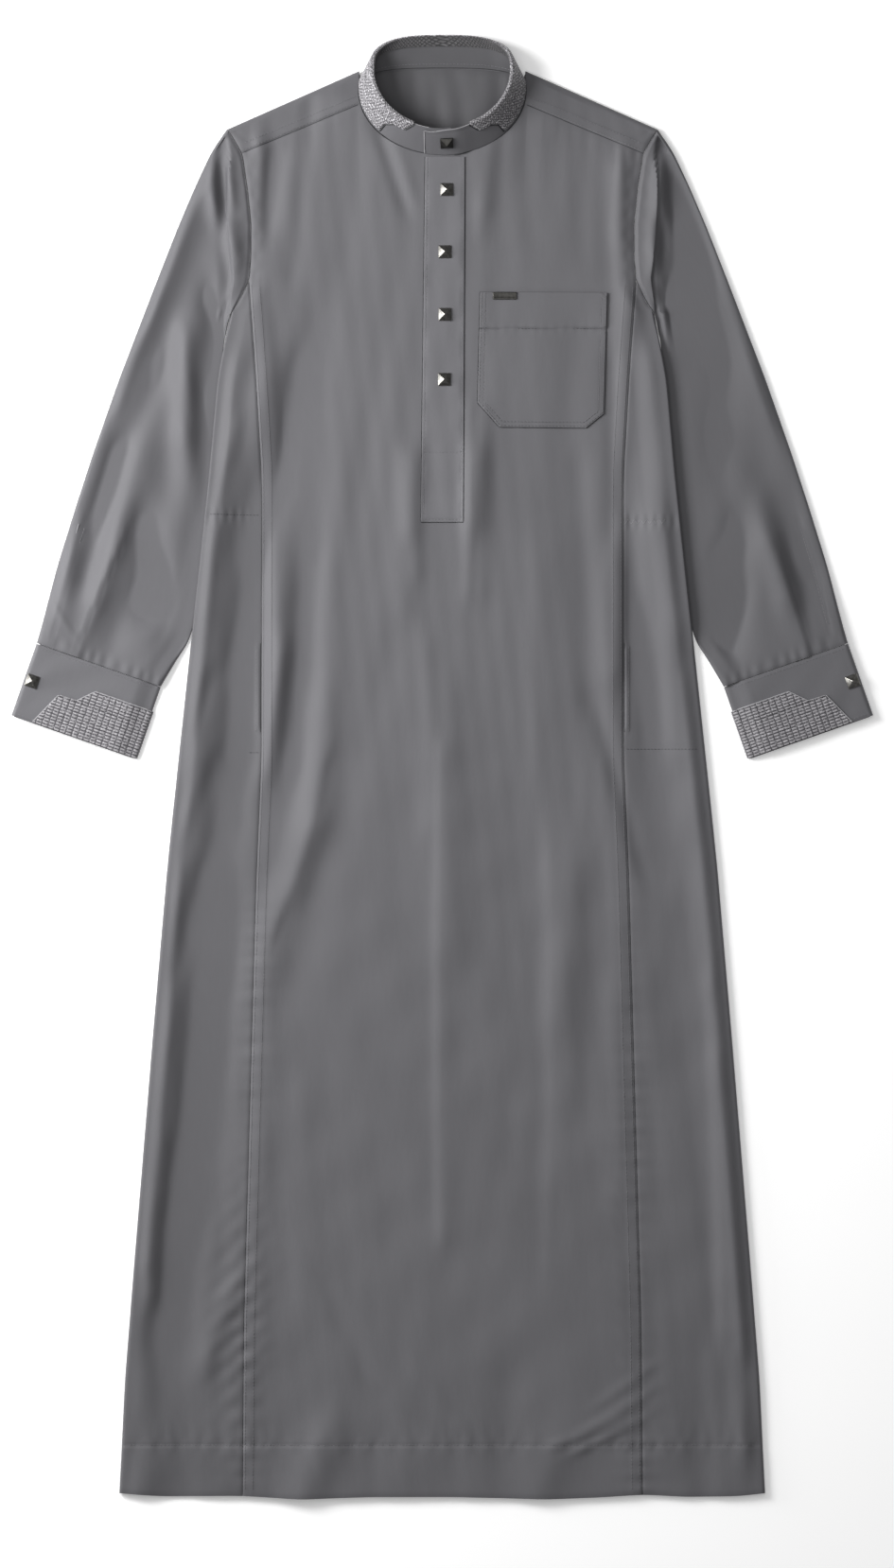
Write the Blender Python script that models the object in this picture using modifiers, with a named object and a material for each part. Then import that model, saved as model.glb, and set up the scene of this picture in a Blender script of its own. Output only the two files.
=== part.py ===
"""Thobe robe laid flat on its back: cloth panels as thin closed walls, studs and a plate on top.

Millimetres in the tables, metres in the scene. +X is the photo's right, +Y points to the collar, +Z is up.
"""
from collections import namedtuple
from math import asin, cos, degrees, exp, pi, radians, sin, sqrt

import bmesh
import bpy
import numpy as np
from mathutils import Matrix, Vector
from mathutils.bvhtree import BVHTree

CLOTH = 1.2
BAND_CLOTH = 1.6
TRIM_CLOTH = 0.8
GAP = 0.3
TRIM_GAP = 0.65
POCKET_GAP = 0.8
TOP = 7.0
LOWEST_TOP = 3.1
HEM_Y = -741.4
ROBE_JOIN_Y = 494.0
YOKE_BACK_Y = 600.0
UNDERARM = (214.8, 461.0)
ARM_TOP = (218.0, 648.0)
SEAM_ARM = (203.4, 623.5)
SEAM_NECK = (82.9, 673.4)
NECK_FOLD_Y = 707.0
STRAP_NECK_X = 84.5
TUCK_LIFT = 3.8

NECK_HALF = 85.0
NECK_MID_Y = 688.0
NECK_FRONT = 66.0
NECK_BACK = 21.0
RIM_HALF = 71.5
RIM_MID_Y = 707.0
RIM_FRONT = 61.0
RIM_BACK = 34.0
TAB_END_X = 17.8

CUFF_LONG = 133.5
CUFF_DEEP = 77.0
CUFF_HIGH = 8.6
CUFF_CLOTH = 1.6
CUFF_CORNER = (437.3, 53.0)
CUFF_TURN = 19.3

STUD_SIDE = 13.0
STUD_BASE = 1.0
STUD_HIGH = 5.0
PLATE = (24.3, 7.7, 1.3)
PLATE_AT = (63.3, 478.6)
COLLAR_STUD_AT = (4.6, 0.5)
CUFF_STUD_AT = (8.5, 39.6)

BodyRow = namedtuple("BodyRow", "y edge")
BODY_EDGE = (
    BodyRow(-742, 327.8),
    BodyRow(-622, 322.1),
    BodyRow(-507, 313.0),
    BodyRow(-277, 294.2),
    BodyRow(-104, 279.4),
    BodyRow(-47, 273.6),
    BodyRow(107, 257.2),
    BodyRow(203, 246.7),
    BodyRow(299, 236.5),
    BodyRow(395, 228.0),
    BodyRow(461, 215.0),
)

SeamRow = namedtuple("SeamRow", "y offset")
SIDE_SEAM = (
    SeamRow(-742, 203.0),
    SeamRow(-565, 201.6),
    SeamRow(-114, 189.1),
    SeamRow(11, 183.8),
    SeamRow(299, 183.8),
    SeamRow(400, 189.5),
    SeamRow(494, 196.4),
)

ArmRow = namedtuple("ArmRow", "y x")
ARMHOLE = (
    ArmRow(461.0, 214.8),
    ArmRow(473.8, 206.4),
    ArmRow(494.0, 196.4),
    ArmRow(519.8, 194.4),
    ArmRow(552.5, 194.4),
    ArmRow(589.0, 198.2),
    ArmRow(623.2, 203.4),
    ArmRow(648.0, 218.0),
)

HemPoint = namedtuple("HemPoint", "x down")
HEM = (
    HemPoint(-329, -4.7),
    HemPoint(-283, -1.3),
    HemPoint(-206, -2.0),
    HemPoint(-144, 1.6),
    HemPoint(-73, -0.7),
    HemPoint(12, -0.7),
    HemPoint(108, 1.6),
    HemPoint(162, -0.4),
    HemPoint(203, -3.2),
    HemPoint(248, -0.8),
    HemPoint(301, -1.6),
    HemPoint(329, -4.8),
)

EdgePoint = namedtuple("EdgePoint", "x y")
SLEEVE_OUTER = (
    EdgePoint(218.4, 648.0),
    EdgePoint(234.2, 625.4),
    EdgePoint(252.0, 587.0),
    EdgePoint(268.3, 548.6),
    EdgePoint(290.9, 491.0),
    EdgePoint(327.8, 395.0),
    EdgePoint(354.7, 318.2),
    EdgePoint(373.4, 260.6),
    EdgePoint(391.2, 203.0),
    EdgePoint(406.1, 145.4),
    EdgePoint(411.75, 125.96),
)
SLEEVE_INNER = (
    EdgePoint(215.9, 460.4),
    EdgePoint(219.2, 445.0),
    EdgePoint(221.9, 430.0),
    EdgePoint(223.3, 412.0),
    EdgePoint(224.0, 390.0),
    EdgePoint(229.5, 299.0),
    EdgePoint(239.5, 203.0),
    EdgePoint(249.0, 153.0),
    EdgePoint(258.5, 126.0),
    EdgePoint(271.0, 107.0),
    EdgePoint(285.75, 81.84),
)

# A fold runs from x0, y0 to x1, y1. It is a ridge where high is above 0 and a trough where it is below.
Fold = namedtuple("Fold", "x0 y0 x1 y1 wide high")
BODY_FOLDS = (
    Fold(-165, 433, -164, 256, 9, -2.6),
    Fold(-112, 530, -90, 328, 26, 2.4),
    Fold(-27, 299, -26, 208, 8, -1.8),
    Fold(-41, 304, -38, 203, 9, 1.8),
    Fold(43, 347, 41, 208, 9, -1.8),
    Fold(127, 256, 127, 160, 12, -2.2),
    Fold(93, 184, 94, -8, 14, 2.5),
    Fold(156, 256, 156, 88, 9, 1.8),
    Fold(-156, 232, -156, 16, 10, -2.6),
    Fold(-120, 184, -118, -46, 16, 2.4),
    Fold(-14, 112, -12, -46, 10, 1.6),
    Fold(-113, -8, -161, -157, 11, -3.4),
    Fold(-89, -17, -136, -166, 12, 2.2),
    Fold(-1, -60, -1, -469, 9, 2.0),
    Fold(15, -8, 18, -469, 10, -2.6),
    Fold(110, -128, 110, -488, 14, 2.8),
    Fold(145, -56, 148, -344, 16, -2.4),
    Fold(-96, -603, -96, -741, 18, -2.4),
    Fold(-153, -613, -153, -741, 16, 2.4),
    Fold(139, -603, 139, -741, 20, -2.4),
    Fold(89, -603, 89, -741, 14, 2.4),
    Fold(-278, -224, -284, -488, 12, -2.6),
    Fold(273, -229, 281, -565, 12, 2.2),
    Fold(212, 328, 214, 232, 12, 1.6),
    Fold(202, 184, 202, 40, 9, -2.2),
)
SLEEVE_FOLDS = (
    Fold(-272, 462, -272, 349, 8, 2.4),
    Fold(-243, 462, -243, 315, 8, -1.8),
    Fold(-308, 349, -353, 202, 12, 2.2),
    Fold(-303, 429, -373, 213, 12, -1.8),
    Fold(-316, 270, -346, 146, 11, -2.2),
    Fold(-342, 198, -374, 117, 7, 2.2),
    Fold(262, 405, 285, 146, 10, -1.6),
    Fold(300, 430, 315, 281, 13, 2.2),
    Fold(333, 240, 373, 117, 7, -2.6),
    Fold(318, 235, 356, 112, 9, 2.2),
    Fold(352, 330, 378, 213, 9, 1.8),
)

# Depth is measured down from the collar rim, and start is how far the trim's front end sits from the first point.
StepRow = namedtuple("StepRow", "depth start")
COLLAR_STEPS = (StepRow(0, 0), StepRow(11, 8), StepRow(12, 21), StepRow(19, 30), StepRow(31, 33))
COLLAR_TRIM_FROM = 24.0
COLLAR_TRIM_TO = 337.0
CUFF_STEPS = (StepRow(0, 22.5), StepRow(35, 38.5), StepRow(35.6, 57.5), StepRow(51, 73))

StudRow = namedtuple("StudRow", "name x y")
FRONT_STUDS = (
    StudRow("stud_front_1", 4.5, 586.4),
    StudRow("stud_front_2", 2.6, 523.3),
    StudRow("stud_front_3", 2.6, 459.8),
    StudRow("stud_front_4", 2.0, 393.7),
)

PlacketRow = namedtuple("PlacketRow", "y left right")
PLACKET = (PlacketRow(249.1, -21.7, 21.0), PlacketRow(619.4, -17.3, 22.8))
PocketRow = namedtuple("PocketRow", "left_x left_y right_x right_y")
POCKET = (
    PocketRow(57.7, 345.5, 145.9, 344.6),
    PocketRow(35.7, 370.3, 163.9, 359.2),
    PocketRow(38.4, 482.4, 167.1, 481.9),
)

BODY_ROWS = (
    -741, -700, -630, -560, -490, -420, -350, -280, -210, -140, -70,
    0, 70, 140, 210, 280, 350, 410, 450, 494,
)
CHEST_ROWS = (519.8, 552.5, 589, 623.2)
FRONT_COLUMNS = (0, 16, 32, 47, 61, 72, 79.5, 83.4, 100, 120, 142, 166, 186, 203.4)
YOKE_COLUMNS = (0, 22, 42, 58, 70, 79, 84.5, 104, 130, 158, 188, 218)


def clear_scene():
    for thing in list(bpy.data.objects):
        bpy.data.objects.remove(thing, do_unlink=True)
    for mesh in list(bpy.data.meshes):
        bpy.data.meshes.remove(mesh)


def look_up(rows, value, key, wanted):
    return float(np.interp(value, [getattr(r, key) for r in rows], [getattr(r, wanted) for r in rows]))


def smooth(value):
    value = min(max(value, 0.0), 1.0)
    return value * value * (3 - 2 * value)


def edge_x(y):
    return look_up(BODY_EDGE, y, "y", "edge")


def arm_x(y):
    return look_up(ARMHOLE, y, "y", "x")


def side_x(y):
    if y <= ROBE_JOIN_Y:
        return look_up(SIDE_SEAM, y, "y", "offset")
    return arm_x(y)


def hem_y(x):
    return HEM_Y - look_up(HEM, x, "x", "down")


def fold_sum(folds, x, y):
    """Every fold as a soft ridge or trough across its line, fading out past both ends."""
    total = 0.0
    for fold in folds:
        run = Vector((fold.x1 - fold.x0, fold.y1 - fold.y0))
        length = run.length
        along = Vector((x - fold.x0, y - fold.y0)).dot(run) / length
        across = abs((x - fold.x0) * run.y - (y - fold.y0) * run.x) / length
        past = max(-along, along - length, 0.0)
        fade = exp(-((past / (2.2 * fold.wide)) ** 2))
        total += fold.high * fade * exp(-((across / fold.wide) ** 2))
    return total


def neck_rise(x, y):
    """The front is held up where the collar band stands on it."""
    if y > 700:
        return 0.0
    reach = sqrt((x / NECK_HALF) ** 2 + ((y - NECK_MID_Y) / NECK_FRONT) ** 2)
    away = max(reach - 1.0, 0.0) * NECK_FRONT
    return 5.0 * exp(-((away / 34.0) ** 2)) * smooth((702 - y) / 30)


def top_height(x, y):
    """Height of the robe's upper face."""
    half = abs(x)
    if y < ROBE_JOIN_Y:
        fade = smooth((edge_x(y) - half - 2) / 16)
    else:
        fade = smooth((arm_x(min(y, 648)) - half) / 24)
    height = TOP + fade * fold_sum(BODY_FOLDS, x, y) + neck_rise(x, y)
    return max(height, LOWEST_TOP)


def tuck_lift(y):
    """How far the body's side fold is lifted over the sleeve that lies under it."""
    return TUCK_LIFT * smooth((456 - y) / 24) * smooth((y - 112) / 20)


def neck_point(angle):
    """The collar seam in plan, angle in degrees with the front at -90."""
    turn = radians(angle)
    if sin(turn) <= 0:
        return NECK_HALF * cos(turn), NECK_MID_Y + NECK_FRONT * sin(turn)
    power = 2 / 3
    across = abs(cos(turn)) ** power * (1 if cos(turn) >= 0 else -1)
    return NECK_HALF * across, NECK_MID_Y + NECK_BACK * sin(turn) ** power


def rim_point(angle):
    turn = radians(angle)
    if sin(turn) <= 0:
        return RIM_HALF * cos(turn), RIM_MID_Y + RIM_FRONT * sin(turn)
    power = 2 / 3
    across = abs(cos(turn)) ** power * (1 if cos(turn) >= 0 else -1)
    return RIM_HALF * across, RIM_MID_Y + RIM_BACK * sin(turn) ** power


BandRow = namedtuple("BandRow", "angle seam rim")
BAND = (
    BandRow(-90, 12.0, 34.0),
    BandRow(-45, 12.0, 33.8),
    BandRow(-12, 9.6, 31.8),
    BandRow(0, 8.0, 30.4),
    BandRow(15, 6.2, 24.4),
    BandRow(30, 4.4, 18.6),
    BandRow(60, 3.0, 12.2),
    BandRow(90, 2.7, 11.0),
)


def band_base(turn, up):
    """A point of the band's outer face. turn is in degrees from the front, past the left side; up goes 0 to 1."""
    angle = -90.0 - turn
    while angle < -180:
        angle += 360
    from_side = angle if abs(angle) <= 90 else (180 - angle if angle > 0 else -180 - angle)
    low = neck_point(angle)
    high = rim_point(angle)
    seam = look_up(BAND, from_side, "angle", "seam")
    rim = look_up(BAND, from_side, "angle", "rim")
    return Vector((
        low[0] + (high[0] - low[0]) * up,
        low[1] + (high[1] - low[1]) * up,
        seam + (rim - seam) * up,
    ))


def band_point(turn, up, out):
    """The band's face moved out along its normal."""
    here = band_base(turn, up)
    around = band_base(turn + 1, up) - band_base(turn - 1, up)
    rise = band_base(turn, 1.0) - band_base(turn, 0.0)
    normal = rise.cross(around).normalized()
    middle = Vector((0, RIM_MID_Y - 12, 12))
    if normal.dot(here - middle) < 0:
        normal.negate()
    return here + normal * out


def material(name, colour, roughness, metallic):
    made = bpy.data.materials.new(name)
    made.use_nodes = True
    shader = made.node_tree.nodes["Principled BSDF"]
    shader.inputs["Base Color"].default_value = (*colour, 1)
    shader.inputs["Roughness"].default_value = roughness
    shader.inputs["Metallic"].default_value = metallic
    return made


def put_in_scene(name, mesh, paint):
    mesh.materials.append(paint)
    made = bpy.data.objects.new(name, mesh)
    bpy.data.collections["thobe_robe"].objects.link(made)
    return made


def sheet(name, columns, rows, place, wall, paint, keep=None, closed=False, flip=False):
    """A grid of points placed by a function of column and row, given its wall by a Solidify modifier."""
    shape = bmesh.new()
    bmesh.ops.create_grid(shape, x_segments=columns, y_segments=rows, size=1)
    spots = {}
    for vert in shape.verts:
        column = round((vert.co.x + 1) / 2 * columns)
        row = round((vert.co.y + 1) / 2 * rows)
        spots[vert] = (column, row)
    if keep:
        gone = []
        for face in shape.faces:
            column = min(spots[v][0] for v in face.verts)
            row = min(spots[v][1] for v in face.verts)
            if not keep(column, row):
                gone.append(face)
        bmesh.ops.delete(shape, geom=gone, context="FACES")
    for vert in shape.verts:
        vert.co = Vector(place(*spots[vert])) * 0.001
    if closed:
        bmesh.ops.remove_doubles(shape, verts=shape.verts, dist=0.00001)
    if flip:
        bmesh.ops.reverse_faces(shape, faces=shape.faces)
    mesh = bpy.data.meshes.new(name)
    shape.to_mesh(mesh)
    shape.free()
    made = put_in_scene(name, mesh, paint)
    solid = made.modifiers.new("wall", "SOLIDIFY")
    solid.thickness = wall * 0.001
    solid.offset = -1
    return made


def both_ways(half_values):
    return [-v for v in reversed(half_values[1:])] + list(half_values)


def front_panel(paint):
    columns = both_ways(FRONT_COLUMNS)
    rows = list(BODY_ROWS) + list(CHEST_ROWS)

    def upper_end(x):
        if abs(x) < FRONT_COLUMNS[7] + 0.1:
            share = min(abs(x) / (NECK_HALF + 0.7), 1)
            return NECK_MID_Y - (NECK_FRONT + 0.7) * sqrt(1 - share * share)
        slope = (SEAM_NECK[1] - SEAM_ARM[1]) / (SEAM_ARM[0] - SEAM_NECK[0])
        return SEAM_ARM[1] + (SEAM_ARM[0] - abs(x)) * slope - 0.5

    def place(column, row):
        share = columns[column] / FRONT_COLUMNS[-1]
        level = rows[row]
        x = share * (side_x(level) - 0.25)
        y = level
        if level > ROBE_JOIN_Y:
            part = (level - ROBE_JOIN_Y) / (rows[-1] - ROBE_JOIN_Y)
            y = ROBE_JOIN_Y + (upper_end(columns[column]) - ROBE_JOIN_Y) * part
        elif row == 0:
            y = hem_y(x)
        return x, y, top_height(x, y)

    return sheet("front_panel", len(columns) - 1, len(rows) - 1, place, CLOTH, paint)


def back_panel(paint):
    rows = list(BODY_ROWS) + [519.8, 552.5, 589, YOKE_BACK_Y - 0.2]

    def place(column, row):
        y = rows[row]
        x = (column - 1) * (side_x(y) - 0.25)
        if row == 0:
            y = hem_y(x)
        return x, y, CLOTH

    return sheet("back_panel", 2, len(rows) - 1, place, CLOTH, paint)


def armhole_drop(share):
    """How far the armhole has fallen at a share of the gore's top edge."""
    return float(np.interp(share, [0, (206.4 - 196.4) / 18.4, 1], [0, (494 - 473.8) / 33, 1]))


def side_panel(name, side, paint):
    """A gore as one cross-section per row: front seam, out to the side fold, round it and back underneath."""
    rows = BODY_ROWS
    across = (0, 0.22, 0.44, 0.64, 0.82)

    def place(column, row):
        level = rows[row]
        drop = smooth((level - 405) / 89) * (ROBE_JOIN_Y - UNDERARM[1])
        seam = side_x(level) + 0.2
        edge_level = level - drop
        edge = edge_x(edge_level)
        lift = tuck_lift(edge_level)
        radius = (TOP - lift) / 2
        flat = edge - radius
        last = len(across)
        if column < last:
            x = seam + (flat - seam) * across[column]
            z = None
        elif column <= last + 4:
            turn = (column - last) * pi / 4
            x = flat + radius * sin(turn)
            z = lift + radius + radius * cos(turn)
        else:
            under = column - last - 5
            x = max((edge - 9, edge - 17, edge - 26, seam)[under], seam + 0.5 * (3 - under))
            z = lift * (1.0, 0.5, 0.0, 0.0)[under]
        y = level - 0.03 * drop - drop * armhole_drop((x - seam + 0.7) / (edge - seam))
        if z is None:
            z = top_height(side * x, y)
        if row == 0:
            y = hem_y(side * x)
        return side * x, y, z

    return sheet(name, len(across) + 8, len(rows) - 1, place, CLOTH, paint, flip=side < 0)


def yoke(paint):
    columns = both_ways(YOKE_COLUMNS)
    radius = TOP / 2
    back_rows = 4
    strap = (
        (1.0, 0.0),
        (0.29, 0.29),
        (0.0, 1.0),
        (0.29, 1.71),
        (1.0, 2.0),
    )

    def neck_line(x):
        share = min(abs(x) / NECK_HALF, 1) ** 3
        return NECK_MID_Y + NECK_BACK * (1 - share) ** (1 / 3) - 0.3

    def fold_line(half):
        part = (half - STRAP_NECK_X) / (ARM_TOP[0] - STRAP_NECK_X)
        return NECK_FOLD_Y + (ARM_TOP[1] - NECK_FOLD_Y) * part

    def place(column, row):
        spot = columns[column]
        half = abs(spot)
        side = -1 if spot < 0 else 1
        on_strap = half >= STRAP_NECK_X - 0.01
        if row <= back_rows:
            part = row / back_rows
            arm_end = ARM_TOP[1] - (radius if on_strap else 0)
            level = YOKE_BACK_Y + 0.2 + (arm_end - YOKE_BACK_Y - 0.2) * part
            end = fold_line(half) - radius if on_strap else neck_line(half)
            y = YOKE_BACK_Y + 0.2 + (end - YOKE_BACK_Y - 0.2) * part
            x = half / ARM_TOP[0] * (arm_x(level) - 0.25)
            z = 0.0 if on_strap else 1.0 * smooth((part - 0.7) / 0.3)
            return side * x, y, z
        share = (half - STRAP_NECK_X) / (ARM_TOP[0] - STRAP_NECK_X)
        step = row - back_rows
        if step < len(strap):
            back, rise = strap[step]
            y = fold_line(half) - back * radius
            arm_end = arm_x(ARM_TOP[1] - back * radius) - 0.3
            return side * (STRAP_NECK_X + (arm_end - STRAP_NECK_X) * share), y, rise * radius
        part = (step - len(strap) + 1) / 3
        neck_y = NECK_FOLD_Y - radius + (SEAM_NECK[1] + GAP - NECK_FOLD_Y + radius) * part
        arm_y = ARM_TOP[1] - radius + (SEAM_ARM[1] + GAP - ARM_TOP[1] + radius) * part
        inner = neck_edge(neck_y)
        outer = arm_x(arm_y) - 0.25
        x = inner + (outer - inner) * share
        y = neck_y + (arm_y - neck_y) * share
        return side * x, y, top_height(side * x, y)

    def neck_edge(y):
        if y > NECK_MID_Y:
            share = min((y - NECK_MID_Y) / NECK_BACK, 1) ** 3
            return max(STRAP_NECK_X, NECK_HALF * (1 - share) ** (1 / 3) + 0.6)
        share = (NECK_MID_Y - y) / NECK_FRONT
        return NECK_HALF * sqrt(1 - share * share) + 0.6

    def keep(column, row):
        if row < back_rows:
            return True
        first = min(abs(columns[column]), abs(columns[column + 1]))
        return first >= STRAP_NECK_X - 0.01

    rows = back_rows + len(strap) - 1 + 3
    return sheet("yoke", len(columns) - 1, rows, place, CLOTH, paint, keep=keep, flip=True)


def along(points, share):
    """A point at a share of the way along a line of points."""
    places = [Vector((p.x, p.y)) for p in points]
    steps = [0.0]
    for before, after in zip(places, places[1:]):
        steps.append(steps[-1] + (after - before).length)
    want = share * steps[-1]
    x = float(np.interp(want, steps, [p.x for p in places]))
    y = float(np.interp(want, steps, [p.y for p in places]))
    return Vector((x, y))


def sleeve_plan(share, down):
    """Plan of the sleeve: share 0 at the outer edge and 1 at the inner, down 0 at the armhole and 1 at the cuff."""
    outer = along(SLEEVE_OUTER, down)
    inner = along(SLEEVE_INNER, down)
    level = ARM_TOP[1] + (UNDERARM[1] - ARM_TOP[1]) * share
    straight = SLEEVE_OUTER[0].x + (SLEEVE_INNER[0].x - SLEEVE_OUTER[0].x) * share
    bulge = (arm_x(level) + 0.5 - straight) * (1 - down) ** (5 + 60 * share**4)
    return outer + (inner - outer) * share + Vector((bulge, 0)) * (1 if 0 < share < 1 else 0)


def sleeve(name, side, paint):
    stations = (0, 0.035, 0.07, 0.12, 0.2, 0.3, 0.4, 0.5, 0.61, 0.72, 0.82, 0.91, 1.0)
    shares = tuple((ARM_TOP[1] - y) / (ARM_TOP[1] - UNDERARM[1]) for y in (623.2, 589, 552.5, 519.8, 494, 473.8))

    def place(column, row):
        down = stations[row]
        inner = along(SLEEVE_INNER, down)
        width = (along(SLEEVE_OUTER, down) - inner).length
        near_cuff = smooth((down - 0.84) / 0.14)
        inner_high = 3.0 + (TOP - 3.0) * smooth((inner.y - 432) / 26)
        inner_high += (CUFF_HIGH - 3.0) * near_cuff
        outer_high = TOP + (CUFF_HIGH - TOP) * near_cuff
        radius_out = outer_high / 2
        radius_in = inner_high / 2
        ring = [(0, radius_out), (0.29 * radius_out, 1.71 * radius_out), (radius_out, outer_high)]
        ring += [(share * width, None) for share in shares]
        ring.append((width - radius_in, inner_high))
        ring.append((width - 0.29 * radius_in, 1.71 * radius_in))
        ring.append((width, radius_in))
        ring.append((width - 0.29 * radius_in, 0.29 * radius_in))
        ring.append((width - radius_in, 0))
        ring += [(share * width, 0) for share in reversed(shares)]
        ring.append((radius_out, 0))
        ring.append((0.29 * radius_out, 0.29 * radius_out))
        away, z = ring[column % len(ring)]
        plan = sleeve_plan(away / width, down)
        if z is None:
            share = away / width
            swell = 3.0 * sin(pi * share) * smooth(down / 0.15) * (1 - 0.6 * near_cuff)
            fade = smooth(down / 0.10) * smooth((width - away - 12) / 16) * smooth(away / 14)
            fade *= 1 - near_cuff
            z = outer_high + (inner_high - outer_high) * smooth(1 - (width - away - 11) / 30)
            z += swell * smooth((width - away - 11) / 22)
            z += fade * fold_sum(SLEEVE_FOLDS, side * plan.x, plan.y)
            if plan.y < 458:
                # Low beside the body's side fold, so that this edge can lie under it.
                beside = max(plan.x - edge_x(plan.y) - 6, 0)
                z = min(z, 3.0 + 0.3 * beside + 4 * smooth((plan.y - 436) / 20))
            z = max(z, 3.0)
        return side * plan.x, plan.y, z

    count = 3 + 6 + 5 + 6 + 2
    return sheet(
        name, count, len(stations) - 1, place, CLOTH, paint, closed=True, flip=side < 0
    )


def cuff_frame(side):
    """Where the cuff lies: its outer bottom corner, the way along its bottom edge, and the way up it."""
    turn = radians(CUFF_TURN)
    corner = Vector((side * CUFF_CORNER[0], CUFF_CORNER[1]))
    run = Vector((-side * cos(turn), -sin(turn)))
    rise = Vector((-side * sin(turn), cos(turn)))
    return corner, run, rise


def cuff_spot(side, run_mm, up_mm):
    corner, run, rise = cuff_frame(side)
    return corner + run * run_mm + rise * up_mm


def cuff(name, side, paint):
    radius = CUFF_HIGH / 2
    ring = [(0, radius), (0.29 * radius, 1.71 * radius), (radius, CUFF_HIGH)]
    ring += [(CUFF_LONG * share, CUFF_HIGH) for share in (0.27, 0.5, 0.73)]
    ring += [(CUFF_LONG - radius, CUFF_HIGH), (CUFF_LONG - 0.29 * radius, 1.71 * radius)]
    ring += [(CUFF_LONG, radius), (CUFF_LONG - 0.29 * radius, 0.29 * radius), (CUFF_LONG - radius, 0)]
    ring += [(CUFF_LONG * 0.5, 0), (radius, 0), (0.29 * radius, 0.29 * radius)]

    def place(column, row):
        run, z = ring[column % len(ring)]
        spot = cuff_spot(side, run, row / 2 * CUFF_DEEP)
        return spot.x, spot.y, z

    return sheet(name, len(ring), 2, place, CUFF_CLOTH, paint, closed=True, flip=side > 0)


def cuff_trim(name, side, paint):
    """A stepped end on the cuff's upper face; the other end turns round the inner fold."""
    out = GAP + TRIM_CLOTH
    radius = CUFF_HIGH / 2
    flat_end = CUFF_LONG - radius
    wrap = (0.0, 0.4, 0.8, 1.2, 1.6, 2.1)
    flat_cells = 5

    def place(column, row):
        step = CUFF_STEPS[row]
        if column <= flat_cells:
            run = step.start + (flat_end - step.start) * column / flat_cells
            z = CUFF_HIGH + out
        else:
            turn = wrap[column - flat_cells]
            run = flat_end + (radius + out) * sin(turn)
            z = radius + (radius + out) * cos(turn)
        spot = cuff_spot(side, run, max(step.depth, 0.5))
        return spot.x, spot.y, z

    cells = flat_cells + len(wrap) - 1
    return sheet(name, cells, len(CUFF_STEPS) - 1, place, TRIM_CLOTH, paint, flip=side > 0)


def collar_band(paint):
    first = -7.0
    cells = 54

    def place(column, row):
        up = row / 2
        end = 360 + degrees(asin(TAB_END_X / (NECK_HALF + (RIM_HALF - NECK_HALF) * up)))
        turn = first + (end - first) * column / cells
        out = (BAND_CLOTH + GAP + 0.1) * smooth((turn - 334) / 17)
        if turn > 334:
            up = max(up, 0.03 * smooth((turn - 334) / 17))
        return band_point(turn, up, out)

    return sheet("collar_band", cells, 2, place, BAND_CLOTH, paint, flip=True)


def collar_trim(paint):
    """Lies on the band's outer face, turns over the rim and ends a little way down inside."""
    centre = -BAND_CLOTH / 2
    reach = BAND_CLOTH / 2 + TRIM_GAP + TRIM_CLOTH
    cells = 36
    tall = 33.0
    profile = [(1 - step.depth / tall, None, step.start) for step in reversed(COLLAR_STEPS)]
    for turn in (0.33, 0.67, 1.0):
        profile.append((1 + reach * sin(pi * turn) / tall, centre + reach * cos(pi * turn), 0))
    profile.append((1 - 9.0 / tall, centre - reach, 0))

    def place(column, row):
        up, out, start = profile[row]
        if out is None:
            out = centre + reach
        left = COLLAR_TRIM_FROM + degrees(start / 74)
        right = COLLAR_TRIM_TO - degrees(start / 74)
        turn = left + (right - left) * column / cells
        back = smooth((cos(radians(turn - 180)) - 0.2) / 0.6)
        if row == 0:
            up = up + 0.05 * (1 - back)
        return band_point(turn, up, out)

    return sheet("collar_trim", cells, len(profile) - 1, place, TRIM_CLOTH, paint, flip=True)


def surface_of(made):
    """Height of a panel's upper face, read from its own facets."""
    mesh = made.data
    tree = BVHTree.FromPolygons([v.co for v in mesh.vertices], [tuple(p.vertices) for p in mesh.polygons])

    def height(x, y):
        hit = tree.ray_cast(Vector((x / 1000, y / 1000, 1)), Vector((0, 0, -1)))[0]
        return hit.z * 1000 if hit else top_height(x, y)

    return height


def placket(under, paint):
    low, high = PLACKET
    rows = 14

    def place(column, row):
        part = row / rows
        y = low.y + (high.y - low.y) * part
        left = low.left + (high.left - low.left) * part
        right = low.right + (high.right - low.right) * part
        x = left + (right - left) * column / 4
        return x, y, under(x, y) + GAP + 0.1 + CLOTH

    return sheet("placket", 4, rows, place, CLOTH, paint)


def chest_pocket(under, paint):
    parts = (0, 1, 1.25, 1.5, 1.75, 2)

    def place(column, row):
        part = parts[row]
        low = POCKET[int(min(part, 1.999))]
        high = POCKET[int(min(part, 1.999)) + 1]
        share = part - int(min(part, 1.999))
        across = column / 6
        left = Vector((low.left_x, low.left_y)).lerp(Vector((high.left_x, high.left_y)), share)
        right = Vector((low.right_x, low.right_y)).lerp(Vector((high.right_x, high.right_y)), share)
        spot = left.lerp(right, across)
        return spot.x, spot.y, under(spot.x, spot.y) + POCKET_GAP + CLOTH

    return sheet("chest_pocket", 6, 5, place, CLOTH, paint)


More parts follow.
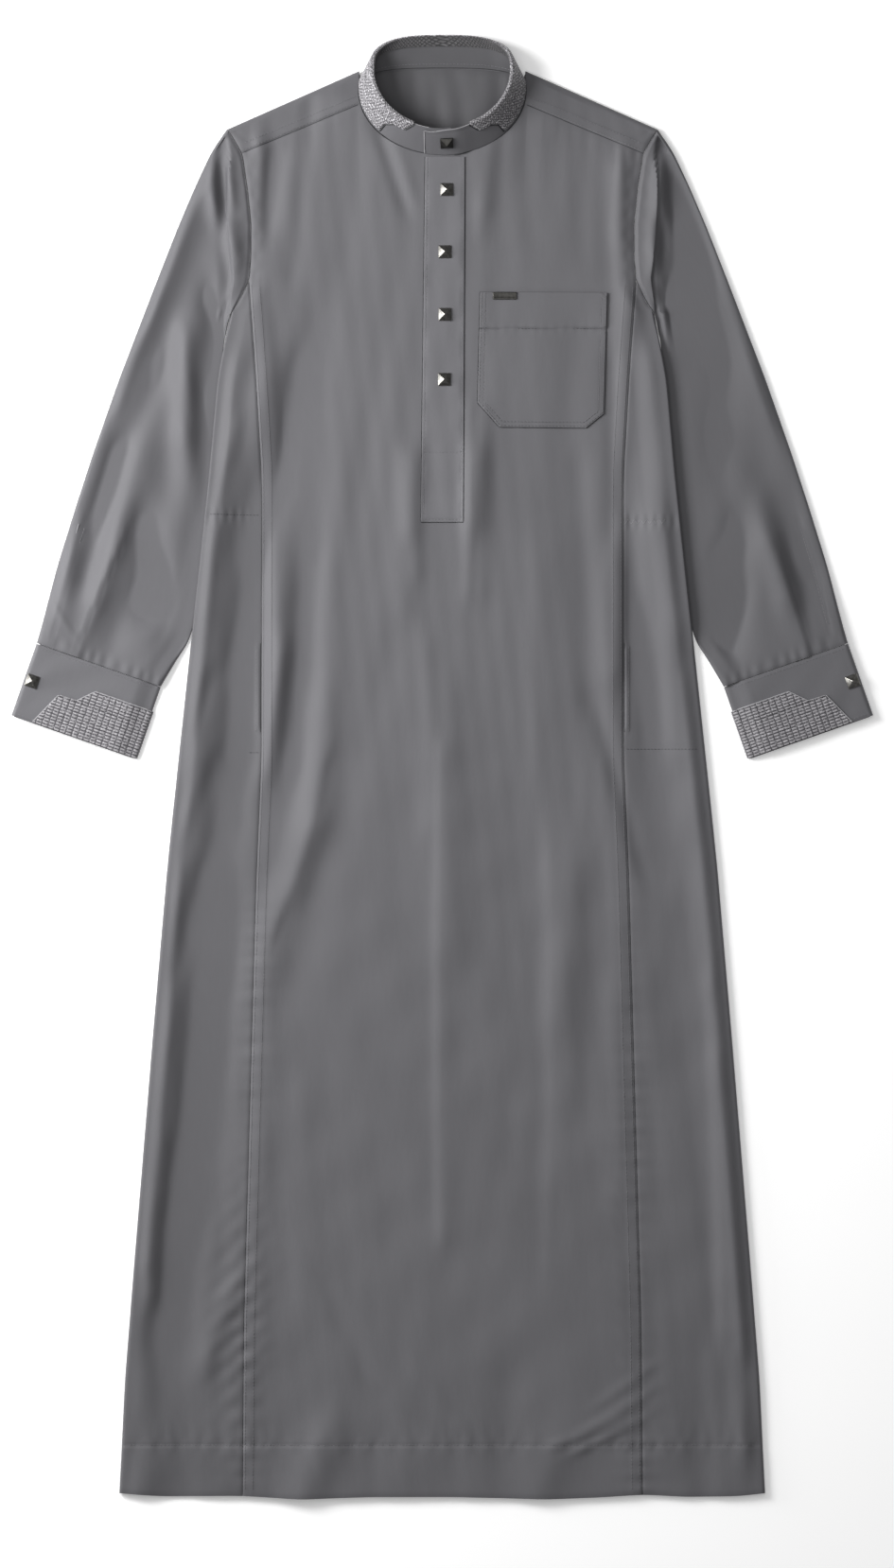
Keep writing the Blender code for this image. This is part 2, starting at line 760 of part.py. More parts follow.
def pocket_plate(under, paint):
    long_side, short_side, thick = PLATE
    x, y = PLATE_AT
    rest = max(
        under(x + a * long_side / 2, y + b * short_side / 2) for a in (-1, 0, 1) for b in (-1, 1)
    )
    bpy.ops.mesh.primitive_cube_add(size=0.001, location=(0, 0, 0))
    made = bpy.context.object
    made.name = "pocket_plate"
    for vert in made.data.vertices:
        vert.co.x *= long_side
        vert.co.y *= short_side
        vert.co.z *= thick
    made.location = (x / 1000, y / 1000, (rest + GAP + thick / 2) / 1000)
    bevel = made.modifiers.new("edge", "BEVEL")
    bevel.width = 0.0003
    bevel.segments = 1
    keep_in_collection(made, paint)
    return made


def keep_in_collection(made, paint):
    for collection in list(made.users_collection):
        collection.objects.unlink(made)
    bpy.data.collections["thobe_robe"].objects.link(made)
    made.data.materials.append(paint)


def stud(name, centre, normal, spin, paint):
    """A square pyramid on a thin square base."""
    shape = bmesh.new()
    half = STUD_SIDE / 2
    bmesh.ops.create_cone(
        shape, cap_ends=True, segments=4, radius1=half * sqrt(2), radius2=0.6, depth=STUD_HIGH
    )
    bmesh.ops.rotate(shape, verts=shape.verts, matrix=Matrix.Rotation(pi / 4, 3, "Z"))
    bmesh.ops.translate(shape, verts=shape.verts, vec=(0, 0, STUD_BASE + STUD_HIGH / 2))
    floor_faces = [f for f in shape.faces if f.normal.z < -0.9]
    moved = bmesh.ops.extrude_face_region(shape, geom=floor_faces)
    lower = [v for v in moved["geom"] if isinstance(v, bmesh.types.BMVert)]
    bmesh.ops.translate(shape, verts=lower, vec=(0, 0, -STUD_BASE))
    bmesh.ops.delete(shape, geom=floor_faces, context="FACES_ONLY")
    bmesh.ops.recalc_face_normals(shape, faces=shape.faces)
    tilt = Vector(normal).to_track_quat("Z", "Y").to_matrix()
    bmesh.ops.rotate(shape, verts=shape.verts, matrix=Matrix.Rotation(spin, 3, "Z"))
    bmesh.ops.rotate(shape, verts=shape.verts, matrix=tilt)
    bmesh.ops.translate(shape, verts=shape.verts, vec=centre)
    bmesh.ops.scale(shape, verts=shape.verts, vec=(0.001, 0.001, 0.001))
    mesh = bpy.data.meshes.new(name)
    shape.to_mesh(mesh)
    shape.free()
    return put_in_scene(name, mesh, paint)


def studs(under, paint):
    half = STUD_SIDE / 2
    for row in FRONT_STUDS:
        rest = max(
            under(row.x + a * half, row.y + b * half) for a in (-1, 0, 1) for b in (-1, 0, 1)
        )
        stud(row.name, (row.x, row.y, rest + GAP), (0, 0, 1), 0, paint)
    turn = 360 - degrees(asin(COLLAR_STUD_AT[0] / 80))
    out = BAND_CLOTH + GAP + 0.1
    face = band_point(turn, COLLAR_STUD_AT[1], out)
    normal = (band_point(turn, COLLAR_STUD_AT[1], out + 1) - face).normalized()
    stud("stud_collar", face + normal * (GAP + 0.35), normal, 0, paint)
    for name, side in (("stud_cuff_left", -1), ("stud_cuff_right", 1)):
        spot = cuff_spot(side, *CUFF_STUD_AT)
        spin = side * radians(CUFF_TURN)
        stud(name, (spot.x, spot.y, CUFF_HIGH + GAP), (0, 0, 1), spin, paint)


def main():
    clear_scene()
    group = bpy.data.collections.new("thobe_robe")
    bpy.context.scene.collection.children.link(group)
    cloth = material("grey_cloth", (0.19, 0.19, 0.2), 0.6, 0)
    trim = material("contrast_trim", (0.3, 0.3, 0.32), 0.45, 0)
    metal = material("gunmetal", (0.11, 0.11, 0.105), 0.3, 0.9)
    panel = surface_of(front_panel(cloth))
    back_panel(cloth)
    yoke(cloth)
    for side, word in ((-1, "left"), (1, "right")):
        side_panel("side_panel_" + word, side, cloth)
        sleeve("sleeve_" + word, side, cloth)
        cuff("cuff_" + word, side, cloth)
        cuff_trim("cuff_trim_" + word, side, trim)
    collar_band(cloth)
    collar_trim(trim)
    strip = surface_of(placket(panel, cloth))
    patch = surface_of(chest_pocket(panel, cloth))
    pocket_plate(patch, metal)
    studs(strip, metal)


main()
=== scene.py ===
from math import asin, cos, degrees, pi, radians, sin

import bpy
import numpy as np
from mathutils import Matrix, Vector


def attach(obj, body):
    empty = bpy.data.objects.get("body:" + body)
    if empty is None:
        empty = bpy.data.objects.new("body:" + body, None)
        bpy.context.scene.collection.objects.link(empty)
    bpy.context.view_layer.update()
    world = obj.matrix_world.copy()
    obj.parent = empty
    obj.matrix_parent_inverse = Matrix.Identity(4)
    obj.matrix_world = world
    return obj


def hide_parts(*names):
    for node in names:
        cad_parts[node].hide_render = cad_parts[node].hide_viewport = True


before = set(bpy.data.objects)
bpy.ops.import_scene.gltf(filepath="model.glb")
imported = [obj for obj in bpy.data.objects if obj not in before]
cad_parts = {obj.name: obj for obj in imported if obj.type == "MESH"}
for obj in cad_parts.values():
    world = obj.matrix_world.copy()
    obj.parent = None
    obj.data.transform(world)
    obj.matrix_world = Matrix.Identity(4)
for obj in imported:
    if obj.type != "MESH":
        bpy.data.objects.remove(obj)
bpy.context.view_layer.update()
print("robe: the packed frame is loaded")

# Every length is in millimetres until a mesh is filled. +X is the photo's right, +Y the collar, +Z up.
robe = {
    "top": 7.0,          # how high the front lies over the floor
    "lowestTop": 3.1,
    "wall": 1.2,
    "hemY": -741.4,
    "hemStitchY": -687.8,
    "joinY": 494.0,      # where the side seam meets the armhole
    "yokeBackY": 600.0,
    "underarm": (214.8, 461.0),
    "armTop": (218.0, 648.0),
    "seamArm": (203.4, 623.5),   # the yoke seam's outer end
    "seamNeck": (82.9, 673.4),   # and its end at the neck
    "neckFoldY": 707.0,
    "strapNeckX": 84.5,
    "tuckLift": 3.8,     # how far the side folds lie over the sleeves
}


def easedLine(points, reach=0):
    # A line through points with its corners eased, read at any value.
    at = np.array([p[0] for p in points], float)
    value = np.array([p[1] for p in points], float)
    if not reach:
        return lambda wanted: np.interp(wanted, at, value)
    fine = np.arange(at[0], at[-1] + 0.5, 1.0)
    half = int(reach * 2)
    wide = np.pad(np.interp(fine, at, value), half, mode="reflect", reflect_type="odd")
    weight = np.exp(-((np.arange(-half, half + 1) / reach) ** 2))
    soft = np.convolve(wide, weight / weight.sum(), mode="valid")
    return lambda wanted: np.interp(wanted, fine, soft)


def easedPath(points, reach):
    # A path in plan with eased corners, read by its share of the way along.
    spots = np.array(points, float)
    steps = np.concatenate([[0], np.cumsum(np.hypot(*np.diff(spots, axis=0).T))])
    alongX = easedLine(list(zip(steps, spots[:, 0])), reach)
    alongY = easedLine(list(zip(steps, spots[:, 1])), reach)
    return lambda share: (alongX(share * steps[-1]), alongY(share * steps[-1]))


bodyEdge = easedLine([
    (-742, 327.8), (-622, 322.1), (-507, 313.0), (-277, 294.2), (-104, 279.4), (-47, 273.6),
    (107, 257.2), (203, 246.7), (299, 236.5), (395, 228.0), (461, 215.0)], 14)
sideSeam = easedLine([
    (-742, 203.0), (-565, 201.6), (-114, 189.1), (11, 183.8), (299, 183.8), (400, 189.5), (494, 196.4)], 16)
armhole = easedLine([
    (461, 214.8), (473.8, 206.4), (494, 196.4), (519.8, 194.4), (552.5, 194.4), (589, 198.2),
    (623.2, 203.4), (648, 218.0)], 5)
hemDrop = easedLine([
    (-329, -4.7), (-283, -1.3), (-206, -2.0), (-144, 1.6), (-73, -0.7), (12, -0.7), (108, 1.6),
    (162, -0.4), (203, -3.2), (248, -0.8), (301, -1.6), (329, -4.8)], 12)
sleeveOuter = easedPath([
    (218.4, 648), (234.2, 625.4), (252, 587), (268.3, 548.6), (290.9, 491), (327.8, 395), (354.7, 318.2),
    (373.4, 260.6), (391.2, 203), (406.1, 145.4), (411.75, 125.96)], 12)
sleeveInner = easedPath([
    (215.9, 460.4), (219.2, 445), (221.9, 430), (223.3, 412), (224, 390), (229.5, 299), (239.5, 203),
    (249, 153), (258.5, 126), (271, 107), (285.75, 81.84)], 6)

# A fold: x0, y0, x1, y1, how wide, how high, how far it leans, how far it bows. Below 0 it is a trough.
# It falls off gently on the side it leans to, + being the right, and bows to the right above 0.
frontFolds = [
    (-186, 627, -188, 544, 7.7, 2.4, 0, 0), (-109, 654, -107, 573, 7.7, -0.3, 0, 0),
    (-82, 666, -94, 529, 15.4, -1.3, 0, 0), (-62, 640, -41, 578, 7, -2.1, 0, 0),
    (-47, 632, -34, 590, 6, 0.8, 0, 0), (57, 635, 57, 553, 10.6, -0.9, 0, 0),
    (36, 621, 39, 549, 6.7, 0.8, 0, 0), (84, 654, 89, 549, 9.6, -0.9, 0, 0),
    (142, 635, 142, 529, 10.6, -0.7, 0, 0), (170, 625, 170, 505, 11.5, -0.9, 0, 0),
    (192, 621, 192, 491, 7.7, 0.5, 0, 0), (-165, 443, -164, 253, 11.5, -1.3, 0, 3),
    (-113, 539, -87, 323, 28.8, -1, 0, 6), (-26, 304, -26, 205, 8.6, 1.8, 0, 0),
    (-41, 309, -38, 165, 9.6, 1.3, 0, 0), (28, 357, 26, 184, 6.7, 1.7, 0, 0),
    (42, 352, 40, 184, 8.6, 1.2, 0, 0), (127, 256, 127, 145, 13.4, -0.3, 0, 0),
    (94, 203, 95, -13, 17.3, 1.5, 0.6, 3), (-120, 193, -119, -51, 16.3, 2, 0, 4),
    (-15, 117, -12, -51, 9.6, 1, 0, 0), (180, 241, 181, 107, 7.7, 1.6, 0, 0),
    (-113, -3, -161, -162, 11.5, -2, 0.8, 6), (-144, 11, -177, -114, 9.6, -0.5, 0, 4),
    (0, 11, 0, -469, 9.6, 1.6, 0.8, -3), (110, -104, 109, -498, 15.4, 1.7, 0.8, 4),
    (144, -37, 148, -349, 18.2, -1.2, 0, 4), (177, -47, 179, -421, 11.5, 0.8, 0, 0),
    (70, -85, 70, -373, 17.3, -0.9, 0, 0), (-46, -85, -50, -325, 19.2, -0.3, 0, 0),
    (-115, -531, -68, -637, 11.5, -1.2, 0, 0), (17, -603, 16, -661, 11.5, 0.4, 0, 0),
    (-142, -325, -144, -565, 14.4, 0.6, 0, 0), (-96, -603, -96, -747, 21.1, 0.3, 0, 0),
    (-36, -651, -36, -747, 15.4, 0.7, 0, 0), (12, -661, 12, -747, 14.4, -0.8, 0, 0),
    (124, -684, 172, -664, 6, 1.0, 0, 0), (146, -690, 196, -664, 5, 1.2, 0, 0),
    (158, -666, 200, -640, 5, 1.0, 0, 0), (168, -640, 202, -616, 5, 0.8, 0, 0),
    (-60, -640, -28, -672, 7, -0.9, 0, 0), (-22, -618, 14, -664, 8, 0.8, 0, 0),
    (-127, 426, -148, 6, 20, -4.1, 0, 0), (-166, 166, -171, 56, 20, 3.7, 0, 0),
    (-140, -78, -173, -188, 20, 3.4, 0, 0), (191, 521, 170, 101, 12, 2.5, 0, 0),
    (-145, 400, -161, 290, 12, -4.2, 0, 0), (-162, 112, -179, 2, 12, 3.2, 0, 0),
    (-124, -692, -140, -742, 20, 4.2, 0, 0), (34, 307, 32, 257, 12, 4.2, 0, 0),
    (116, -690, 100, -740, 20, 2.2, 0, 0), (155, -19, 122, -239, 20, 2.4, 0, 0),
    (139, 296, 150, 76, 12, -1.9, 0, 0), (3, 60, 14, -160, 20, 2.4, 0, 0),
    (-127, 206, -160, -14, 20, -1.8, 0, 0), (182, 599, 184, 549, 12, 4.2, 0, 0),
    (-183, -267, -204, -687, 20, 2.3, 0, 0), (-170, 610, -178, 560, 12, -3.9, 0, 0),
    (92, -57, 113, -477, 20, -1.7, 0, 0), (-130, -66, -145, -116, 12, 2.7, 0, 0),
    (173, 406, 173, 246, 9, -1.9, 0, 0), (-129, 45, -135, -15, 18, 2.5, 0, 0),
    (-134, 667, -150, 507, 9, -1.4, 0, 0), (50, 634, 44, 574, 9, 2.1, 0, 0),
    (-47, 133, -155, -227, 18, -1, 0, 0), (-190, 500, -174, 340, 18, 2, 0, 0),
    (155, 62, 203, -98, 9, -1.5, 0, 0), (69, -633, 63, -693, 18, -1.9, 0, 0),
    (-32, 306, -32, 246, 9, 1.9, 0, 0), (137, 433, 121, 273, 18, -1.4, 0, 0),
    (-66, 435, -102, 75, 18, -0.9, 0, 0), (186, 299, 150, -61, 9, -0.7, 0, 0),
]
sideFolds = [
    (-246, 235, -258, 30, 15, 4.2, 0, 0), (-239, 241, -245, 174, 8.6, 0.5, 0, 0),
    (-209, 78, -213, 21, 10.6, -1.6, 0, 0), (-210, 400, -222, 323, 12.5, 2, 0, 0),
    (-226, -8, -263, -119, 12.5, 0.9, 0, 0), (-238, 11, -272, -75, 10.6, 1.5, 0, 0),
    (-243, -114, -268, -200, 11.5, -1.3, 0, 0), (-252, 11, -261, -47, 8.6, 0.3, 0, 0),
    (-295, -219, -305, -498, 8.6, 3, 0, 0), (-252, -181, -257, -565, 14.4, -1.1, 0, 0),
    (-218, -181, -226, -613, 9.6, -0.4, 0, 0), (-286, -594, -288, -733, 12.5, -0.7, 0, 0),
    (206, 395, 212, 256, 14.4, 1, 0, 0), (239, 241, 246, 107, 8.6, -0.7, 0, 0),
    (273, -229, 286, -565, 12.5, 2, 0.6, 3), (292, -229, 308, -584, 8.6, 1.7, 0, 0),
    (242, -18, 252, -200, 10.6, -0.6, 0, 0), (214, -373, 217, -613, 9.6, -0.3, 0, 0),
    (262, -603, 266, -736, 12.5, -1.1, 0, 0), (295, -603, 303, -733, 9.6, 0.3, 0, 0),
    (-220, -140, -283, -560, 20, -3.1, 0, 0), (217, 233, 280, -187, 20, 3.3, 0, 0),
    (-223, -27, -244, -447, 20, -2.6, 0, 0), (210, 136, 221, -84, 20, -2.5, 0, 0),
    (-273, -109, -294, -529, 12, 2.5, 0, 0), (286, -263, 307, -683, 12, 1.9, 0, 0),
    (-181, 387, -214, 277, 20, 2.1, 0, 0), (-279, -426, -258, -846, 20, -1.8, 0, 0),
    (-217, 177, -250, -43, 12, 1, 0, 0), (-220, -546, -236, -596, 12, 1.9, 0, 0),
    (232, -203, 295, -623, 20, -1.4, 0, 0), (238, 89, 274, -271, 9, -0.8, 0, 0),
    (217, -337, 253, -697, 18, -1, 0, 0), (-203, 108, -203, -52, 9, -0.9, 0, 0),
    (-271, -256, -307, -616, 18, 1, 0, 0), (-236, 85, -254, 25, 9, -1.3, 0, 0),
    (196, 525, 196, 365, 18, 1.4, 0, 0), (194, 191, 210, 31, 9, -0.9, 0, 0),
    (-171, 256, -219, 96, 9, -0.7, 0, 0), (221, 97, 257, -263, 18, -0.7, 0, 0),
    (-275, -293, -281, -353, 9, -0.9, 0, 0), (-209, 344, -227, 284, 9, 1, 0, 0),
    (-288, -685, -306, -745, 18, 1.3, 0, 0),
]
sleeveFolds = [
    (-236, 470, -234, 372, 12, -4.4, 0, 4), (-236, 372, -222, 290, 10.5, -4.8, 0, 2),
    (-262, 430, -256, 350, 13, 4.1, 0, 0), (-221, 630, -223, 562, 8, -2.7, 0, 0),
    (-318, 262, -352, 182, 12, 2.4, 0, 0), (-298, 254, -318, 190, 13, -0.5, 0, 0),
    (-322, 168, -334, 128, 10, -1.1, 0, 0), (-393, 161, -380, 140, 4, 3.4, 0, 0),
    (-388, 152, -374, 129, 4, -2.3, 0, 0), (-262, 577, -290, 462, 16, 4.1, 0, 0),
    (-300, 470, -330, 380, 12, 3.2, 0, 0), (322, 258, 318, 200, 14, 1.9, 0, 0),
    (358, 206, 392, 125, 10, -1.1, 0, 0), (276, 215, 262, 178, 11, -1.6, 0, 0),
    (304, 176, 280, 132, 14, -1.7, 0, 0), (401, 241, 408, 165, 7, -4, 0, 0),
    (288, 400, 298, 323, 13, -0.7, 0, 0), (266, 539, 283, 414, 18, -1.4, 0, 0),
    (278, 328, 290, 262, 15, -1.6, 0, 0), (310, 462, 334, 366, 16, 2.7, 0, 0),
    (223, 595, 211, 475, 12, 3.6, 0, 0), (-282, 294, -294, 174, 20, -3.5, 0, 0),
    (-330, 315, -360, 195, 12, -4.2, 0, 0), (-255, 322, -243, 272, 12, 4.2, 0, 0),
    (240, 591, 252, 471, 20, -4.2, 0, 0), (334, 226, 347, 176, 12, 4.2, 0, 0),
    (-305, 236, -293, 186, 20, -4.2, 0, 0), (-226, 566, -203, 516, 12, 4.2, 0, 0),
    (219, 618, 224, 568, 7, 4.2, 0, 0), (-295, 382, -349, 262, 12, -2.3, 0, 0),
    (219, 507, 231, 387, 7, 3.1, 0, 0), (298, 213, 286, 93, 20, -4.2, 0, 0),
    (-255, 324, -250, 274, 20, 3.3, 0, 0), (-219, 637, -214, 587, 7, 4.2, 0, 0),
    (-234, 614, -229, 564, 7, 3, 0, 0), (-381, 209, -386, 159, 12, 3.6, 0, 0),
    (-299, 178, -334, 128, 20, -3.4, 0, 0), (-236, 545, -290, 425, 20, -3.2, 0, 0),
    (-280, 411, -268, 291, 20, -2.8, 0, 0), (276, 126, 281, 76, 12, -3, 0, 0),
    (227, 480, 239, 430, 12, -2.7, 0, 0), (-198, 611, -228, 491, 20, -2.4, 0, 0),
    (275, 419, 263, 299, 20, -1.9, 0, 0), (-257, 149, -292, 99, 12, 2.5, 0, 0),
    (-309, 265, -339, 145, 12, -1.5, 0, 0), (313, 323, 367, 203, 20, -2.2, 0, 0),
    (-255, 388, -243, 268, 7, 1.3, 0, 0), (224, 645, 219, 595, 7, 1.7, 0, 0),
    (-351, 159, -374, 109, 7, 1.5, 0, 0), (369, 155, 381, 105, 7, -1.9, 0, 0),
]
# Each sleeve's pleat into the cuff: where it starts, where it ends, how high, and its two flanks' reach.
sleevePleats = [
    (-310, 262, -375, 115, 3.4, 17, 13), (334, 236, 373, 117, 3.2, 18, 13),
]


def smooth(value):
    value = np.clip(value, 0, 1)
    return value * value * (3 - 2 * value)


def bump(distance, wide):
    return np.exp(-((distance / wide) ** 2))


def foldHeight(folds, x, y):
    total = np.zeros(np.broadcast(x, y).shape)
    for x0, y0, x1, y1, wide, high, lean, bow in folds:
        length = np.hypot(x1 - x0, y1 - y0)
        along = ((x - x0) * (x1 - x0) + (y - y0) * (y1 - y0)) / length
        across = ((x - x0) * (y0 - y1) + (y - y0) * (x1 - x0)) / length
        share = np.clip(along / length, 0, 1)
        across = across - bow * 4 * share * (1 - share)
        past = np.maximum(np.maximum(-along, along - length), 0)
        reach = wide * np.where(across > 0, np.exp(lean * 0.6), np.exp(-lean * 0.6))
        total += high * bump(past, max(2.2 * wide, 20)) * bump(across, reach)
    return total


def waver(x, y, seed, waveX, waveY, count=5):
    # A smooth seeded unevenness between about -1 and 1.
    dice = np.random.default_rng(seed)
    total = np.zeros(np.broadcast(x, y).shape)
    for turn in range(count):
        kx = 2 * pi / waveX * dice.uniform(0.5, 1.5) * dice.choice([-1, 1])
        ky = 2 * pi / waveY * dice.uniform(0.5, 1.5)
        total += np.sin(kx * x + ky * y + dice.uniform(0, 2 * pi))
    return total / count ** 0.5 / 1.4


def pleatHeight(x, y):
    # A sharp crease: it climbs from the left, drops a little at the line and falls away on the right.
    total = np.zeros(np.broadcast(x, y).shape)
    for x0, y0, x1, y1, high, left, right in sleevePleats:
        length = np.hypot(x1 - x0, y1 - y0)
        along = ((x - x0) * (x1 - x0) + (y - y0) * (y1 - y0)) / length
        across = ((x - x0) * (y0 - y1) + (y - y0) * (x1 - x0)) / length
        grown = smooth((along + 10) / 60) * smooth((length + 30 - along) / 30)
        flank = np.where(across < 0, np.exp(across / left), 0.72 * np.exp(-across / right))
        total += grown * (high * flank - 0.7 * bump(across - 1.0, 1.1))
    return total


neck = {"half": 85.0, "midY": 688.0, "front": 66.0, "back": 21.0}
rim = {"half": 71.5, "midY": 707.0, "front": 61.0, "back": 34.0}


def hemY(x):
    return robe["hemY"] - hemDrop(x)


def yokeSeamY(half):
    # The front yoke seam, from the armhole up to the neck.
    (armX, armY), (neckX, neckY) = robe["seamArm"], robe["seamNeck"]
    return armY + (armX - half) * (neckY - armY) / (armX - neckX)


def neckRise(x, y):
    # The front is held up where the collar stands on it.
    reach = np.hypot(x / neck["half"], (y - neck["midY"]) / neck["front"])
    away = np.maximum(reach - 1, 0) * neck["front"]
    return np.where(y > 700, 0, frontShape["collarRise"] * bump(away, 34.0) * smooth((702 - y) / 30))


frontShape = {
    "foldDepth": 1.22,
    "slack": 0.32,         # broad unevenness, a finer one, and a slow one low down
    "fineSlack": 0.22,
    "cloudy": 0.42,
    "collarRise": 5.0,     # how far the collar holds it up
    "gather": 0.36,        # below the yoke seam
    "hemDouble": 0.22, "hemPull": 0.4, "hemShortPull": 0.34,
    "wideStep": 4.3, "neckStep": 2.6, "seamStep": 1.6, "longStep": 4.6,
}
sideShape = {
    "foldDepth": 1.75,
    "valley": 1.5, "valleyLeft": 3.9, "valleyRight": 1.9, "valleyLow": 0.7,
    "overSleeve": (2.0, 5.4),     # how far it lies raised over the sleeve, left and right
    "edgeSwell": 2.2,
    "seamGroove": 0.6, "pressed": 0.32,     # the seam line and the allowance pressed under it
    "slantLeft": 0.6, "slantRight": 0.42,   # slanting puckers low on the seams
    "slit": (36, 126),     # the pocket opening's ends
    "joins": (256.0, 249.5),
}


def seamValley(x, y):
    # The cloth sinks towards the side seams under the arms, more on the left.
    off = np.abs(x) - sideSeam(y)
    left = sideShape["valleyLeft"] * smooth((y + 70) / 100) * smooth((350 - y) / 90)
    right = sideShape["valleyRight"] * smooth((y - 10) / 120) * smooth((500 - y) / 90)
    low = sideShape["valleyLow"] * smooth((-80 - y) / 90)
    reach = np.where(off > 0, np.where(x < 0, 34, 24), 11)
    return (np.where(x < 0, left, right) + low) * np.exp(-((off - 1) / reach) ** 2)


def topHeight(x, y):
    # The robe's upper face, with its folds, its seams and the slack between them.
    half = np.abs(x)
    edge = np.where(y < 461, bodyEdge(y), armhole(np.minimum(y, 648))) - half - 2 * smooth((485 - y) / 24)
    fade = smooth(edge / (16 + 8 * smooth((y - 461) / 30)))
    folds = frontShape["foldDepth"] * foldHeight(frontFolds, x, y)
    folds = folds + sideShape["foldDepth"] * foldHeight(sideFolds, x, y)
    folds = folds - sideShape["valley"] * seamValley(x, y)
    low = smooth((560 - y) / 80)
    cloudy = frontShape["cloudy"] * waver(x, y, 12, 74, 96) * smooth((120 - y) / 200)
    fine = frontShape["fineSlack"] - 0.1 * smooth((100 - y) / 200)
    slack = cloudy + frontShape["slack"] * waver(x, y, 3, 62, 420) * (0.4 + 0.6 * low)
    slack = slack + fine * waver(x, y, 8, 28, 150)
    height = robe["top"] + fade * (folds + slack) + neckRise(x, y) + seamRelief(x, y)
    overSleeve = smooth((452 - y) / 40) * smooth((y - 110) / 50)
    raisedLeft, raisedRight = sideShape["overSleeve"]
    height = height + overSleeve * np.where(x > 0, raisedRight, raisedLeft) * smooth((34 - edge) / 26)
    swell = sideShape["edgeSwell"] * smooth((y + 60) / 90) * smooth((300 - y) / 80) * bump(edge - 14, 15)
    height = height + np.where(x < 0, swell, 0)
    return robe["lowestTop"] + 0.9 * np.log1p(np.exp((height - robe["lowestTop"]) / 0.9))


def seamRelief(x, y):
    half = np.abs(x)
    side = np.sign(x)
    below = y < robe["joinY"] + 6
    off = half - sideSeam(y)                      # + in the side panel, - in the front panel
    groove = -sideShape["seamGroove"] * bump(off, 1.2)
    pressed = sideShape["pressed"] * smooth((off + 12.5) / 2.5) * smooth((-0.5 - off) / 1.5)
    tight = smooth((-40 - y) / 120) * (0.65 + 0.35 * np.sin(y / 61 + side))
    ripple = np.sin(2 * pi * (y + 3 * side) / 17.5 + 1.3 * np.sin(y / 29))
    longRipple = np.sin(2 * pi * y / 34 + 1.7 * np.sin(y / 53 + side))
    beside = np.exp(-np.abs(off + 2) / 11)
    relief = np.where(below, groove + pressed + beside * (tight * (0.5 * ripple + 0.36 * longRipple)), 0)
    # slanting puckers low on both seams
    slant = np.sin(2 * pi * (y - 0.9 * x) / 24 + np.sin(y / 31))
    relief += np.where(x < 0, sideShape["slantLeft"] * slant * bump(y + 560, 110) * bump(off - 6, 22), 0)
    slantRight = np.sin(2 * pi * (y + 0.8 * x) / 21 + 1.4 * np.sin(y / 27))
    relief += np.where(x > 0, sideShape["slantRight"] * slantRight * bump(y + 520, 150) * bump(off + 13, 11), 0)
    # the side panels' joins below the arms, and a second one on the right below the pocket
    leftJoin, rightJoin = y - sideShape["joins"][0], y - sideShape["joins"][1]
    outside = smooth(off / 3)
    join = np.where(x < 0, leftJoin + 0.02 * off, rightJoin)
    relief += outside * (-0.55 * bump(join, 1.6) + 0.4 * np.sin(2 * pi * off / 9) * bump(join, 6))
    relief += np.where(x > 0, outside * (-0.4 * bump(y - 18.5, 1.5)), 0)
    # pocket slits on the side seams
    slit = smooth((y - sideShape["slit"][0]) / 4) * smooth((sideShape["slit"][1] - y) / 4)
    relief += slit * (1.1 * bump(off - 3.5, 2.8) - 0.9 * bump(off, 1.6))
    # armhole: the seam line, with the body pulled a little beside it
    arm = armhole(np.clip(y, 461, 648)) - half
    onArm = smooth((y - 462) / 10) * (1 - 0.6 * bump(y - 490, 9))
    relief += onArm * (-1.0 * bump(arm, 1.8) + 0.35 * bump(arm - 7, 4) * np.sin(2 * pi * y / 21))
    # yoke seam and its gathers
    drop = yokeSeamY(half) - y
    yokeEdge = -0.5 * bump(drop, 1.4) + 0.25 * smooth((drop + 11) / 2) * smooth((-0.4 - drop) / 1.2)
    relief += np.where(half > 70, yokeEdge, 0)
    gather = np.sin(2 * pi * half / 12.5 + 1.5 * np.sin(half / 17 + side))
    gather = frontShape["gather"] * gather * np.exp(-drop / 26) * smooth(drop / 5) * smooth((half - 60) / 30)
    relief += np.where(drop > 0, gather, 0)
    # hem: double cloth below its stitch line, puckered along it
    up = y - robe["hemStitchY"]
    relief += frontShape["hemDouble"] * smooth((-up - 0.5) / 2.5) - 0.35 * bump(up, 1.5)
    pull = np.sin(2 * pi * x / 22 + 1.4 * np.sin(x / 37))
    relief += frontShape["hemPull"] * pull * bump(up, 9) + 0.25 * np.sin(2 * pi * x / 11) * bump(up, 3.5)
    short = np.sin(2 * pi * x / 14.5 + 2.1 * np.sin(x / 23) + 0.09 * up)
    relief += frontShape["hemShortPull"] * short * (0.5 + 0.5 * np.sin(x / 41 + 0.8)) * bump(up - 10, 9)
    relief -= 0.8 * np.exp(-np.maximum(y - hemY(x), 0) / 1.6)
    return relief


def tuckLift(y):
    # How far the body's side fold is lifted over the sleeve that lies under it.
    return robe["tuckLift"] * smooth((456 - y) / 24) * smooth((y - 112) / 20)


def deselect():
    if bpy.context.object and bpy.context.object.mode != "OBJECT":
        bpy.ops.object.mode_set(mode="OBJECT")
    bpy.ops.object.select_all(action="DESELECT")


def pick(made):
    deselect()
    made.select_set(True)
    bpy.context.view_layer.objects.active = made


def applyAll(made):
    pick(made)
    for name in [m.name for m in made.modifiers]:
        bpy.ops.object.modifier_apply(modifier=name)


